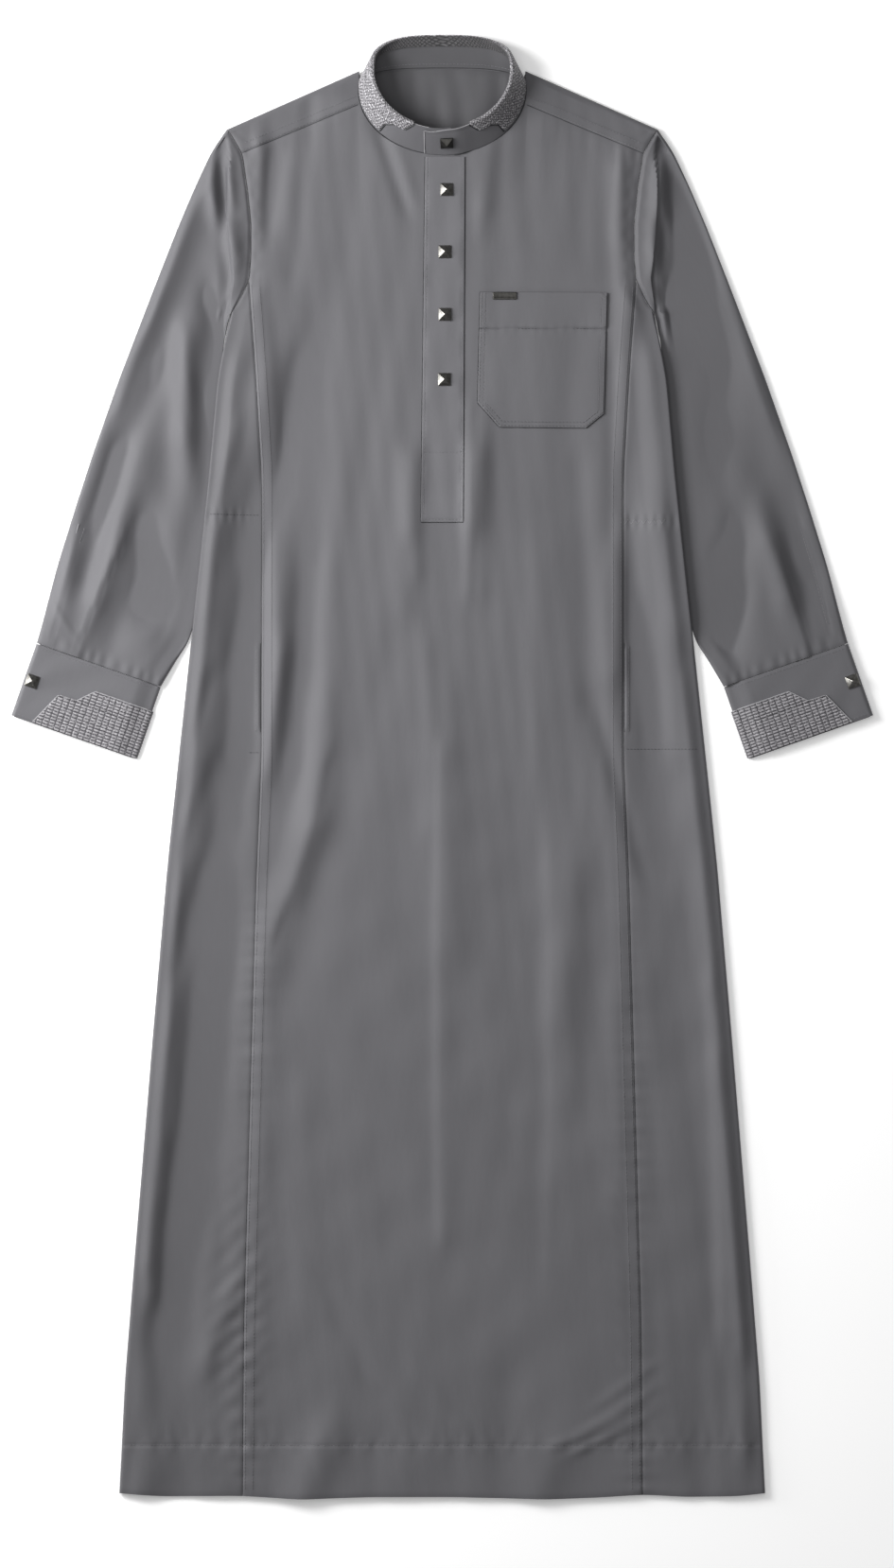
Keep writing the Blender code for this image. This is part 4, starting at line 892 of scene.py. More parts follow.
def sleeve(name, node, side):
    stations = np.concatenate([
        np.linspace(0, 0.06, 38)[:-1], np.linspace(0.06, 0.12, 16)[:-1], np.linspace(0.12, 0.86, 92)[:-1],
        np.linspace(0.86, 1, 30)])
    topCells, bendCells, underCells = sleeveShape["cells"]
    own = sleeveShape["left" if side < 0 else "right"]

    def place(column, row):
        down = stations[row]
        inX, inY = sleeveInner(down)
        outX, outY = sleeveOuter(down)
        width = np.hypot(outX - inX, outY - inY)
        nearCuff = smooth((down - 0.84) / 0.14)
        innerHigh = 3.0 + (robe["top"] - 3.0) * smooth((inY - 432) / 26) + (cuffShape["high"] - 3.0) * nearCuff
        flatHigh = robe["top"] if side < 0 else robe["top"] - 1.6 * smooth(down / 0.15)
        outerHigh = flatHigh + (cuffShape["high"] - flatHigh) * nearCuff
        radiusOut, radiusIn = outerHigh / 2, innerHigh / 2
        lap = column % (topCells + 2 * bendCells + underCells)
        onTop = lap <= topCells
        inBend = (lap > topCells) & (lap < topCells + bendCells)
        under = (lap >= topCells + bendCells) & (lap <= topCells + bendCells + underCells)
        topShare = np.clip(lap / topCells, 0, 1)
        inTurn = np.clip((lap - topCells) / bendCells, 0, 1) * pi
        underShare = np.clip((lap - topCells - bendCells) / underCells, 0, 1)
        outTurn = np.clip((lap - topCells - bendCells - underCells) / bendCells, 0, 1) * pi
        topAway = radiusOut + (width - radiusIn - radiusOut) * topShare
        inAway = width - radiusIn + radiusIn * np.sin(inTurn)
        underAway = width - radiusIn + (radiusOut + radiusIn - width) * underShare
        outAway = radiusOut - radiusOut * np.sin(outTurn)
        away = np.where(onTop, topAway, np.where(inBend, inAway, np.where(under, underAway, outAway)))
        x, y = sleevePlan(away / width, down)
        fade = smooth(down / 0.06) * smooth((width - away - 12) / 16) * smooth(away / 14)
        fade = fade * (1 - 0.45 * nearCuff)
        share = np.clip(away / width, 0, 1)
        swell = own["swell"] * np.sin(pi * share ** own["lean"]) * smooth(down / 0.12) * (1 - 0.6 * nearCuff)
        z = outerHigh + (innerHigh - outerHigh) * smooth(1 - (width - away - 11) / 30)
        z = z + swell * smooth((width - away - 11) / 22)
        folds = sleeveShape["foldDepth"] * foldHeight(sleeveFolds, side * x, y) + pleatHeight(side * x, y)
        z = z + fade * (folds + sleeveShape["slack"] * waver(x * side, y, 21, 60, 240))
        # the sleeve head stands up beside its seam in a long lens that ends at a sharp crease
        off = x - armhole(np.clip(y, 461, 648))
        lens = sleeveShape["lens"] * np.sin(pi * np.clip((y - 461) / 184, 0.0005, 0.9995)) ** 0.6
        climb = 0.12 + own["sudden"] * smooth(off / 5) + (0.88 - own["sudden"]) * smooth(off / 20)
        crease = own["trough"] * bump(off - lens - 5, 7.0)
        z = z + smooth(lens / 8) * (own["step"] * smooth((lens - off) / 1.8) * climb - crease)
        # the sleeve head: a crease beside the seam, and the vent's binding by the outer edge
        head = away * 0 + down * 560
        seamPull = np.sin(2 * pi * y / 23 + 1.2 * np.sin(y / 31))
        z = z - 1.1 * bump(head, 2.0) + 0.3 * seamPull * bump(head - 8, 9)
        toCuff = (1 - down) * 510
        cuffGather = 0.5 * np.sin(2 * pi * away / 13 + np.sin(away / 9))
        z = z - 0.7 * bump(toCuff, 1.8) + cuffGather * bump(toCuff - 5, 8) * smooth(away / 14)
        vent = smooth((down - 0.74) / 0.01) * bump(away - 9, 3.4)
        vent = vent * own["vent"]
        z = z + 0.8 * vent - 0.4 * smooth((down - 0.74) / 0.01) * bump(away - 14, 1.4)
        beside = np.maximum(x - bodyEdge(np.clip(y, -742, 461)) - 6, 0)
        sink = 0.12 + 0.88 * smooth(beside / 36) if side < 0 else 0.05 + 0.95 * smooth((beside - 3) / 50)
        held = np.maximum(smooth((y - 416) / 45), smooth((150 - y) / 45))
        z = 3.0 + np.maximum(z - 3.0, 0) * (sink + (1 - sink) * held)
        inZ = radiusIn + radiusIn * np.cos(inTurn)
        outZ = radiusOut - radiusOut * np.cos(outTurn)
        z = np.where(onTop, z, np.where(inBend, inZ, np.where(under, 0, outZ)))
        run = np.where(onTop, away, np.where(under, 2 * width - away + 5, np.where(inBend, width + 3, 2 * width + 10)))
        return side * x, y, z, side * run, -down * 560

    count = topCells + 2 * bendCells + underCells
    paint = clothLeftSleeveShaded if side < 0 else clothRightSleeveShaded
    made = clothGrid(name, count, len(stations) - 1, place, robe["wall"], paint, closed=True, flip=side < 0)
    return finishPiece(made, node)


def cuffSpot(side, run, up):
    turn = radians(cuffShape["turn"])
    x = side * cuffShape["corner"][0] - side * cos(turn) * run - side * sin(turn) * up
    y = cuffShape["corner"][1] - sin(turn) * run + cos(turn) * up
    return x, y


def cuffFall(run):
    # The cuff sinks towards its folded end.
    return cuffShape["fall"] * smooth((run - cuffShape["long"] + 24) / 20)


def cuff(name, node, side):
    radius = cuffShape["high"] / 2
    topCells, bendCells, underCells, rows = 60, 12, 12, 44
    count = topCells + 2 * bendCells + underCells

    def place(column, row):
        lap = column % count
        up = row / rows * cuffShape["deep"]
        long = cuffShape["long"]
        top = radius + (long - 2 * radius) * np.clip(lap / topCells, 0, 1)
        inTurn = np.clip((lap - topCells) / bendCells, 0, 1) * pi
        underRun = long - radius + (2 * radius - long) * np.clip((lap - topCells - bendCells) / underCells, 0, 1)
        outTurn = np.clip((lap - topCells - bendCells - underCells) / bendCells, 0, 1) * pi
        onTop = lap <= topCells
        inBend = (lap > topCells) & (lap < topCells + bendCells)
        under = (lap >= topCells + bendCells) & (lap <= topCells + bendCells + underCells)
        run = np.where(onTop, top, np.where(inBend, long - radius + radius * np.sin(inTurn),
                       np.where(under, underRun, radius - radius * np.sin(outTurn))))
        inside = smooth((run - 4) / 20) * smooth((long - 4 - run) / 20)
        slack = cuffShape["slack"] * inside * waver(run, up, 31 + side, 70, 60) - cuffFall(run)
        edges = -0.4 * bump(cuffShape["deep"] - up, 2.0) - 0.5 * bump(up, 1.4) - 0.22 * bump(up - 4.5, 0.9)
        zTop = cuffShape["high"] + slack + edges
        z = np.where(onTop, zTop, np.where(inBend, (radius - cuffShape["fall"] / 2) * (1 + np.cos(inTurn)),
                     np.where(under, 0, radius - radius * np.cos(outTurn))))
        x, y = cuffSpot(side, run, up)
        girth = np.where(onTop, run, np.where(under, 2 * long - run + 8, long + 4))
        return x, y, z, side * girth, up

    made = clothGrid(name, count, rows, place, cuffShape["wall"], clothCuff, closed=True, flip=side > 0)
    return finishPiece(made, node)


cuffTrimShape = {
    "gap": 0.3, "wall": 0.8, "deep": 51, "lift": 0.75,
    "steps": [(0, 22.5), (35, 38.5), (35.6, 57.5), (51, 73)],   # up, where the stepped end starts
}


def gridRelief(u, v, cell):
    # 1 on the middle of each raised dash, 0 in the grooves between them.
    across = np.abs((u / cell[0]) % 1 - 0.5) * cell[0]
    rise = np.abs((v / cell[1]) % 1 - 0.5) * cell[1]
    flank = smooth((cell[0] / 2 - across) / 0.9)
    return flank * smooth((cell[1] / 2 - rise) / 0.9)


def cuffTrim(name, node, side):
    wall, deep, steps = cuffTrimShape["wall"], cuffTrimShape["deep"], cuffTrimShape["steps"]
    out = cuffTrimShape["gap"] + wall
    radius = cuffShape["high"] / 2
    flatEnd = cuffShape["long"] - radius
    flatCells, bendCells = 118, 14
    heights = np.unique(np.concatenate([np.linspace(0, 35, 42), np.linspace(35, 35.6, 3), np.linspace(35.6, deep, 20)]))
    starts = np.interp(heights, [s[0] for s in steps], [s[1] for s in steps])

    def place(column, row):
        start = starts[row]
        up = np.maximum(heights[row], 0.5)
        share = np.clip(column / flatCells, 0, 1)
        turn = np.clip((column - flatCells) / bendCells, 0, 1) * 2.1
        run = np.where(column <= flatCells, start + (flatEnd - start) * share, flatEnd + (radius + out) * np.sin(turn))
        along = np.where(column <= flatCells, run, flatEnd + (radius + out) * turn)
        raised = gridRelief(along, up, trimLook["cuffCell"]) * smooth(up / 3)
        edgeDistance = np.minimum(np.minimum(run - start, deep - up), up)
        rolled = 0.35 * bump(edgeDistance - 0.8, 0.9) - 0.7 * bump(edgeDistance, 0.7)
        lift = cuffTrimShape["lift"] * raised + rolled
        inside = smooth((run - 4) / 20) * smooth((cuffShape["long"] - 4 - run) / 20)
        slack = cuffShape["slack"] * inside * waver(run, up, 31 + side, 70, 60) - cuffFall(run)
        reach = radius + out + lift
        z = np.where(column <= flatCells, cuffShape["high"] + out + lift + slack,
                     radius + reach * np.cos(turn) - cuffShape["fall"] / 2 * (1 + np.cos(turn)))
        run = np.where(column <= flatCells, run, flatEnd + reach * np.sin(turn))
        x, y = cuffSpot(side, run, up)
        return x, y, z, along, up

    made = clothGrid(name, flatCells + bendCells, len(heights) - 1, place, wall, cuffTrimPaint, flip=side > 0, sharp=60)
    return finishPiece(made, node)


bandShape = {
    "wall": 1.6, "tall": 33.0,
    "tabEndX": 17.8,     # where the overlapping end stops, left of the middle
    "tabFall": 0.11,     # how far its upper edge sinks, as a share of the band
    "overlap": 0.4,
}
bandSeam = easedLine([(-90, 12), (-45, 12), (-12, 9.6), (0, 8), (15, 6.2), (30, 4.4), (60, 3), (90, 2.7)], 4)
bandRim = easedLine([(-90, 34), (-45, 33.8), (-12, 31.8), (0, 30.4), (15, 24.4), (30, 18.6), (60, 12.2), (90, 11)], 4)


def ovalPoint(shape, turn):
    side, rise = np.cos(turn), np.sin(turn)
    power = 2 / 3
    behind = rise > 0
    x = np.where(behind, np.sign(side) * np.abs(side) ** power, side) * shape["half"]
    y = np.where(behind, shape["back"] * np.abs(rise) ** power, shape["front"] * rise)
    return x, shape["midY"] + y


def bandBase(turn, up):
    # turn in degrees from the front, past the left side; up from the seam, 0, to the rim, 1.
    angle = -90.0 - turn
    angle = np.where(angle < -180, angle + 360, angle)
    fromSide = np.where(np.abs(angle) <= 90, angle, np.where(angle > 0, 180 - angle, -180 - angle))
    lowX, lowY = ovalPoint(neck, np.radians(angle))
    highX, highY = ovalPoint(rim, np.radians(angle))
    seam, top = bandSeam(fromSide), bandRim(fromSide)
    return np.stack([lowX + (highX - lowX) * up, lowY + (highY - lowY) * up, seam + (top - seam) * up], -1)


def bandPoint(turn, up, out):
    here = bandBase(turn, up)
    around = bandBase(turn + 1, up) - bandBase(turn - 1, up)
    rise = bandBase(turn, np.ones_like(up)) - bandBase(turn, np.zeros_like(up))
    normal = np.cross(rise, around)
    normal /= np.linalg.norm(normal, axis=-1, keepdims=True)
    inward = ((here - np.array([0, rim["midY"] - 12, 12])) * normal).sum(-1) < 0
    normal = np.where(inward[..., None], -normal, normal)
    return here + normal * np.asarray(out)[..., None]


def bandOut(turn):
    # The overlapping end lies on the band's other end.
    return (bandShape["wall"] + bandShape["overlap"]) * smooth((turn - 334) / 17)


def tabFall(turn):
    # The overlapping end's upper edge sinks below the rim that it crosses.
    return 1 - bandShape["tabFall"] * smooth((turn - 355) / 17)


def collarBand():
    columns, rows, first = 300, 22, -7.0

    def place(column, row):
        up = row / rows
        end = 360 + np.degrees(np.arcsin(bandShape["tabEndX"] / (neck["half"] + (rim["half"] - neck["half"]) * up)))
        turn = first + (end - first) * column / columns
        lifted = np.where(turn > 334, np.maximum(up, 0.03 * smooth((turn - 334) / 17)), up) * tabFall(turn)
        depth = (1 - up) * bandShape["tall"]
        face = 0.30 * bump(depth - 1.2, 1.0) - 0.25 * bump(depth - 4.0, 1.2) + 0.18 * waver(turn, up * 30, 44, 26, 60)
        face = face * smooth((turn - first) / 4)
        spot = bandPoint(turn, lifted, bandOut(turn) + face * 0.8)
        return spot[:, 0], spot[:, 1], spot[:, 2], turn * 1.4, up * bandShape["tall"]

    # its inner shell takes the darker copy of the cloth: painted shade inside the collar
    made = clothGrid("collarBand", columns, rows, place, bandShape["wall"], clothPaint, flip=True, inner=clothInsideShaded)
    return finishPiece(made, "collar_band")


collarTrimShape = {
    "gap": 0.65, "wall": 0.8, "lift": 0.45,
    "turning": 9,                                               # what is turned in over the rim
    "turns": (24.0, 337.0),                                     # degrees round the neck where it starts and ends
    "steps": [(0, 0), (11, 8), (12, 21), (19, 30), (31, 33)],   # down from the rim, where the trim's end starts
    "columns": 440,
}


def collarTrim():
    wall, steps = collarTrimShape["wall"], collarTrimShape["steps"]
    centre, reach = -bandShape["wall"] / 2, bandShape["wall"] / 2 + collarTrimShape["gap"] + wall
    depths = np.unique(np.concatenate([np.linspace(0, 11, 16), np.linspace(11, 12, 3), np.linspace(12, 31, 26)]))[::-1]
    bends = np.linspace(0, pi, 9)[1:]
    inside = np.linspace(0, collarTrimShape["turning"], 12)[1:]
    columns = collarTrimShape["columns"]
    outRows, bendRows = len(depths), len(bends)

    def place(column, row):
        onOut = row < outRows
        depth = depths[np.clip(row, 0, outRows - 1)]
        bend = bends[np.clip(row - outRows, 0, bendRows - 1)]
        down = inside[np.clip(row - outRows - bendRows, 0, len(inside) - 1)]
        inBend = (row >= outRows) & (row < outRows + bendRows)
        start = np.where(onOut, np.interp(depth, [s[0] for s in steps], [s[1] for s in steps]), 0)
        left = collarTrimShape["turns"][0] + np.degrees(start / 74)
        right = collarTrimShape["turns"][1] - np.degrees(start / 74)
        turn = left + (right - left) * column / columns
        back = smooth((np.cos(np.radians(turn - 180)) - 0.2) / 0.6)
        foot = bump(depth - 31, 3)
        up = np.where(onOut, 1 - depth / bandShape["tall"] + 0.05 * (1 - back) * foot,
                      np.where(inBend, 1 + reach * np.sin(bend) / bandShape["tall"], 1 - down / bandShape["tall"]))
        out = np.where(onOut, centre + reach, np.where(inBend, centre + reach * np.cos(bend), centre - reach))
        arc = turn * 1.38
        drop = np.where(onOut, depth, np.where(inBend, -reach * bend, -reach * pi - down))
        u = arc * np.cos(collarLay) - drop * np.sin(collarLay)
        v = arc * np.sin(collarLay) + drop * np.cos(collarLay)
        edge = np.where(onOut, np.minimum((turn - left), (right - turn)) * 1.3, 5)
        raised = gridRelief(u, v, trimLook["collarCell"]) * smooth(edge / 1.2)
        lift = collarTrimShape["lift"] * raised - 0.5 * bump(edge, 0.8) * onOut
        lift = np.where(onOut, lift, np.where(inBend, lift * np.cos(bend), -lift * 0.5))
        spot = bandPoint(turn, up, out + lift)
        return spot[:, 0], spot[:, 1], spot[:, 2], arc, drop

    count = outRows + bendRows + len(inside) - 1
    made = clothGrid("collarTrim", columns, count, place, wall, collarTrimPaint, flip=True, sharp=60)
    # faces turned in over the rim take that darker copy: painted shade
    made.data.materials.append(collarTrimInsideShaded)
    layer = made.data.uv_layers[0].data
    for face in made.data.polygons:
        if layer[face.loop_start].uv.y < -reach * 2.1 * 0.001:
            face.material_index = 1
    return finishPiece(made, "collar_trim")


placketShape = {
    "lowY": 249.1, "highY": 619.4,
    "low": (-21.7, 21.0), "high": (-17.3, 22.8),   # left and right edges at its two ends
    "stitchY": 319.8,
    "crossRidge": 0.34,    # soft ridges across it between the studs
}


def placketTop(x, y):
    share = np.clip((y - placketShape["lowY"]) / (placketShape["highY"] - placketShape["lowY"]), 0, 1)
    left = placketShape["low"][0] + (placketShape["high"][0] - placketShape["low"][0]) * share
    right = placketShape["low"][1] + (placketShape["high"][1] - placketShape["low"][1]) * share
    edge = np.minimum(np.minimum(x - left, right - x), y - placketShape["lowY"])
    relief = -0.45 * bump(edge, 0.9) - 0.22 * bump(edge - 2.4, 0.8) - 0.25 * bump(y - placketShape["stitchY"], 1.0)
    relief += 0.10 * np.sin(2 * pi * y / 14 + np.sin(y / 23)) * bump(edge - 2.4, 3)
    relief += placketShape["crossRidge"] * np.sin(2 * pi * y / 47 + 1.3 * np.sin(y / 61)) * smooth(edge / 6)
    return topHeight(x, y) + robe["wall"] + 0.4 + relief


def placket():
    columns = np.unique(np.concatenate([np.linspace(0, 0.09, 6), np.linspace(0.09, 0.91, 18), np.linspace(0.91, 1, 6)]))
    levels = np.unique(np.concatenate([
        np.linspace(249.1, 254, 6), np.linspace(254, 317, 20), np.linspace(317, 323, 6), np.linspace(323, 619.4, 90)]))

    def place(column, row):
        y = levels[row]
        share = (y - levels[0]) / (levels[-1] - levels[0])
        left = placketShape["low"][0] + (placketShape["high"][0] - placketShape["low"][0]) * share
        right = placketShape["low"][1] + (placketShape["high"][1] - placketShape["low"][1]) * share
        x = left + (right - left) * columns[column]
        return x, y, placketTop(x, y), x, y

    made = clothGrid("placketStrip", len(columns) - 1, len(levels) - 1, place, robe["wall"], clothPlacketLit, sharp=40)
    return finishPiece(made, "placket")


pocketShape = {
    "rows": [(57.7, 345.5, 145.9, 344.6), (35.7, 370.3, 163.9, 359.2), (38.4, 482.4, 167.1, 481.9)],
    "hemY": 445.2,
    "hemRise": 1.1, "hemGroove": 0.9,
    "billow": 0.5,
}


def pocketTop(x, y, edge=None):
    if edge is None:
        edge = np.minimum(np.minimum(x - 36.5, 165.5 - x), 482.2 - y)
    relief = -0.4 * bump(edge, 0.9) - 0.2 * bump(edge - 2.2, 0.8) - 0.2 * bump(edge - 5.6, 0.8)
    hem = y - pocketShape["hemY"]
    relief += pocketShape["hemRise"] * smooth(hem) - pocketShape["hemGroove"] * bump(hem, 1.3)
    relief += 0.16 * np.sin(2 * pi * x / 10) * bump(hem, 5)     # little puckers under the hem
    relief += pocketShape["billow"] * smooth(edge / 30) * (1 - smooth(hem / 2))
    return topHeight(x, y) + 0.8 + robe["wall"] + relief


def chestPocket():
    shares = np.unique(np.concatenate([np.linspace(0, 0.06, 8), np.linspace(0.06, 0.94, 44), np.linspace(0.94, 1, 8)]))
    parts = np.unique(np.concatenate([np.linspace(0, 1, 16), np.linspace(1, 2, 70)]))

    def place(column, row):
        part = parts[row]
        stage = np.minimum(part.astype(int), 1)
        low = np.array(pocketShape["rows"])[stage]
        high = np.array(pocketShape["rows"])[stage + 1]
        spot = low + (high - low) * (part - stage)[:, None]
        share = shares[column]
        x = spot[:, 0] + (spot[:, 2] - spot[:, 0]) * share
        y = spot[:, 1] + (spot[:, 3] - spot[:, 1]) * share
        sideways = np.minimum(share, 1 - share) * (spot[:, 2] - spot[:, 0])
        edge = np.minimum(np.minimum(sideways * np.where(part < 1, 0.74, 1), 482.2 - y), y - 345.2)
        return x, y, pocketTop(x, y, edge), x, y

    made = clothGrid("chestPocket", len(shares) - 1, len(parts) - 1, place, robe["wall"], clothPaint, sharp=40)
    return finishPiece(made, "chest_pocket")


plateShape = {"size": (24.3, 7.7, 1.3), "at": (63.3, 478.6), "edge": 0.5}


def pocketPlate():
    long, deep, thick = plateShape["size"]
    x, y = plateShape["at"]
    under = [(x + a * long / 2, y + b * deep / 2) for a in (-1, 0, 1) for b in (-1, 1)]
    rest = max(float(pocketTop(np.array(spotX), np.array(spotY))) for spotX, spotY in under)
    deselect()
    bpy.ops.mesh.primitive_cube_add(size=1)
    made = bpy.context.object
    made.name = "pocketPlate"
    made.scale = (long / 1000, deep / 1000, thick / 1000)
    made.location = (x / 1000, y / 1000, (rest + 0.15 + thick / 2) / 1000)
    bpy.ops.object.transform_apply(location=True, rotation=True, scale=True)
    bevel = made.modifiers.new("worn edge", "BEVEL")
    bevel.width = plateShape["edge"] * 0.001
    bevel.segments = 3
    applyAll(made)
    bpy.ops.object.mode_set(mode="EDIT")
    bpy.ops.mesh.select_mode(type="FACE")
    bpy.ops.mesh.select_all(action="DESELECT")
    bpy.ops.object.mode_set(mode="OBJECT")
    for face in made.data.polygons:
        face.select = face.normal.z > 0.99
    bpy.ops.object.mode_set(mode="EDIT")
    bpy.ops.mesh.inset(thickness=0.0008, depth=0)
    bpy.ops.mesh.inset(thickness=0.0003, depth=-0.00012)
    bpy.ops.object.mode_set(mode="OBJECT")
    bpy.ops.object.shade_smooth_by_angle(angle=radians(35))
    made.data.materials.append(gunmetalDark)
    return finishPiece(made, "pocket_plate")


studShape = {
    "side": 13.0, "base": 1.0, "high": 5.0,
    "front": [(4.5, 586.4), (2.6, 523.3), (2.6, 459.8), (2.0, 393.7)],
    "cuff": (8.5, 39.6),       # along the cuff and up it
    "collarX": 4.6,
}


def modelStud():
    # A square pyramid cut off at a tiny flat, on a thin square base with a worn edge.
    half = studShape["side"] / 2000
    deselect()
    bpy.ops.mesh.primitive_cone_add(
        vertices=4, radius1=half * 2 ** 0.5, radius2=0.0004, depth=studShape["high"] / 1000,
        location=(0, 0, (studShape["base"] + studShape["high"] / 2) / 1000), rotation=(0, 0, pi / 4))
    made = bpy.context.object
    bpy.ops.object.transform_apply(location=True, rotation=True, scale=True)
    bpy.ops.object.mode_set(mode="EDIT")
    bpy.ops.mesh.select_mode(type="FACE")
    bpy.ops.mesh.select_all(action="DESELECT")
    bpy.ops.object.mode_set(mode="OBJECT")
    for face in made.data.polygons:
        face.select = face.normal.z < -0.9
    bpy.ops.object.mode_set(mode="EDIT")
    bpy.ops.mesh.extrude_region_move(TRANSFORM_OT_translate={"value": (0, 0, -studShape["base"] / 1000)})
    bpy.ops.object.mode_set(mode="OBJECT")
    bevel = made.modifiers.new("worn edge", "BEVEL")
    bevel.width = 0.00028
    bevel.segments = 2
    bevel.limit_method = "ANGLE"
    applyAll(made)
    bpy.ops.object.shade_smooth_by_angle(angle=radians(25))
    made.data.materials.append(gunmetal)
    return made


def putStud(pattern, name, node, centre, normal, spin):
    made = pattern.copy()
    made.data = pattern.data.copy()
    made.name = name
    bpy.context.collection.objects.link(made)
    tilt = Vector(normal).to_track_quat("Z", "Y").to_matrix().to_4x4()
    made.data.transform(Matrix.Translation(Vector(centre) * 0.001) @ tilt @ Matrix.Rotation(spin, 4, "Z"))
    return finishPiece(made, node)


sewing = {
    "stitch": 2.7, "pitch": 3.5, "thread": 0.24,     # a stitch's length, the step to the next and its radius
    "shadeCordRadius": 0.34, "outline": 0.28, "edge": 0.42,
}


def threadMesh(name, runs, radius, paint):
    # Every run of points becomes one thin tube; all of them are one mesh.
    curve = bpy.data.curves.new(name, "CURVE")
    curve.dimensions = "3D"
    curve.bevel_depth = radius * 0.001
    curve.bevel_resolution = 1
    curve.use_fill_caps = True
    for points, thick in runs:
        spline = curve.splines.new("POLY")
        spline.points.add(len(points) - 1)
        spline.points.foreach_set("co", np.column_stack([points * 0.001, np.ones(len(points))]).ravel())
        spline.points.foreach_set("radius", thick)
    made = bpy.data.objects.new(name, curve)
    bpy.context.collection.objects.link(made)
    pick(made)
    bpy.ops.object.convert(target="MESH")
    made = bpy.context.object
    bpy.ops.object.mode_set(mode="EDIT")
    bpy.ops.mesh.select_all(action="SELECT")
    bpy.ops.mesh.remove_doubles(threshold=0.000001)
    bpy.ops.mesh.normals_make_consistent(inside=False)
    bpy.ops.object.mode_set(mode="OBJECT")
    made.data.name = name
    made.data.materials.clear()
    made.data.materials.append(paint)
    bpy.ops.object.shade_smooth_by_angle(angle=radians(60))
    return finishPiece(made, None)


def resample(points, step):
    # The run's points again, one every step along it.
    length = np.concatenate([[0], np.cumsum(np.linalg.norm(np.diff(points, axis=0), axis=1))])
    at = np.linspace(0, length[-1], max(2, int(round(length[-1] / step)) + 1))
    return np.column_stack([np.interp(at, length, points[:, axis]) for axis in range(3)])


def laidOn(height, flat, above=0.0):
    flat = np.array(flat, float)
    length = np.concatenate([[0], np.cumsum(np.hypot(*np.diff(flat, axis=0).T))])
    at = np.linspace(0, length[-1], max(2, int(length[-1] / 1.2) + 1))
    x, y = (np.interp(at, length, flat[:, axis]) for axis in (0, 1))
    return np.column_stack([x, y, height(x, y) + above])


def cordRun(points, step=3.0):
    points = resample(points, step)
    return [(points, np.ones(len(points)))]


def stitchRuns(points, seed=0):
    # A row of single stitches, each a little different, its ends pulled into the cloth.
    length = np.concatenate([[0], np.cumsum(np.linalg.norm(np.diff(points, axis=0), axis=1))])
    count = int(length[-1] / sewing["pitch"])
    dice = np.random.default_rng(seed)
    runs = []
    for number in range(count):
        start = (number + 0.12 + dice.uniform(-0.04, 0.04)) * sewing["pitch"]
        at = start + np.array([0, 0.22, 0.5, 0.78, 1]) * sewing["stitch"] * dice.uniform(0.94, 1.05)
        spots = np.column_stack([np.interp(at, length, points[:, axis]) for axis in range(3)])
        spots[:, 2] += np.array([-0.16, 0.08, 0.12, 0.08, -0.16])
        runs.append((spots, np.array([0.55, 0.95, 1.0, 0.95, 0.55])))
    return runs


def seamShadeCords():
    # The dark line of each seam, sunk in its groove: a dark cord that paints the seam's shade.
    runs = []
    levels = np.arange(hemY(np.array(195.0)) + 1, robe["joinY"], 1.2)
    arms = np.linspace(462.5, 646.5, 150)
    slit = np.linspace(*sideShape["slit"], 60)
    for side in (-1, 1):
        runs += cordRun(laidOn(topHeight, np.column_stack([side * sideSeam(levels), levels]), 0.1))
        runs += cordRun(laidOn(topHeight, np.column_stack([side * armhole(arms), arms]), 0.25))
        runs += cordRun(laidOn(topHeight, np.column_stack([side * (sideSeam(slit) + 0.9), slit]), 0.2))
        half = np.linspace(85.8, 202.8, 60)
        runs += cordRun(laidOn(topHeight, np.column_stack([side * half, yokeSeamY(half)]), 0.1))
    return threadMesh("seamShadeCords", runs, sewing["shadeCordRadius"], darkThreadAndShade)


def cuffTop(run, up, side):
    inside = smooth((run - 4) / 20) * smooth((cuffShape["long"] - 4 - run) / 20)
    slack = cuffShape["slack"] * inside * waver(run, up, 31 + side, 70, 60)
    return cuffShape["high"] + slack - cuffFall(run)


def cuffLine(side, up, first, last, above):
    run = np.linspace(first, last, 90)
    x, y = cuffSpot(side, run, np.full(run.shape, up))
    return np.column_stack([x, y, cuffTop(run, np.full(run.shape, up), side) + above])


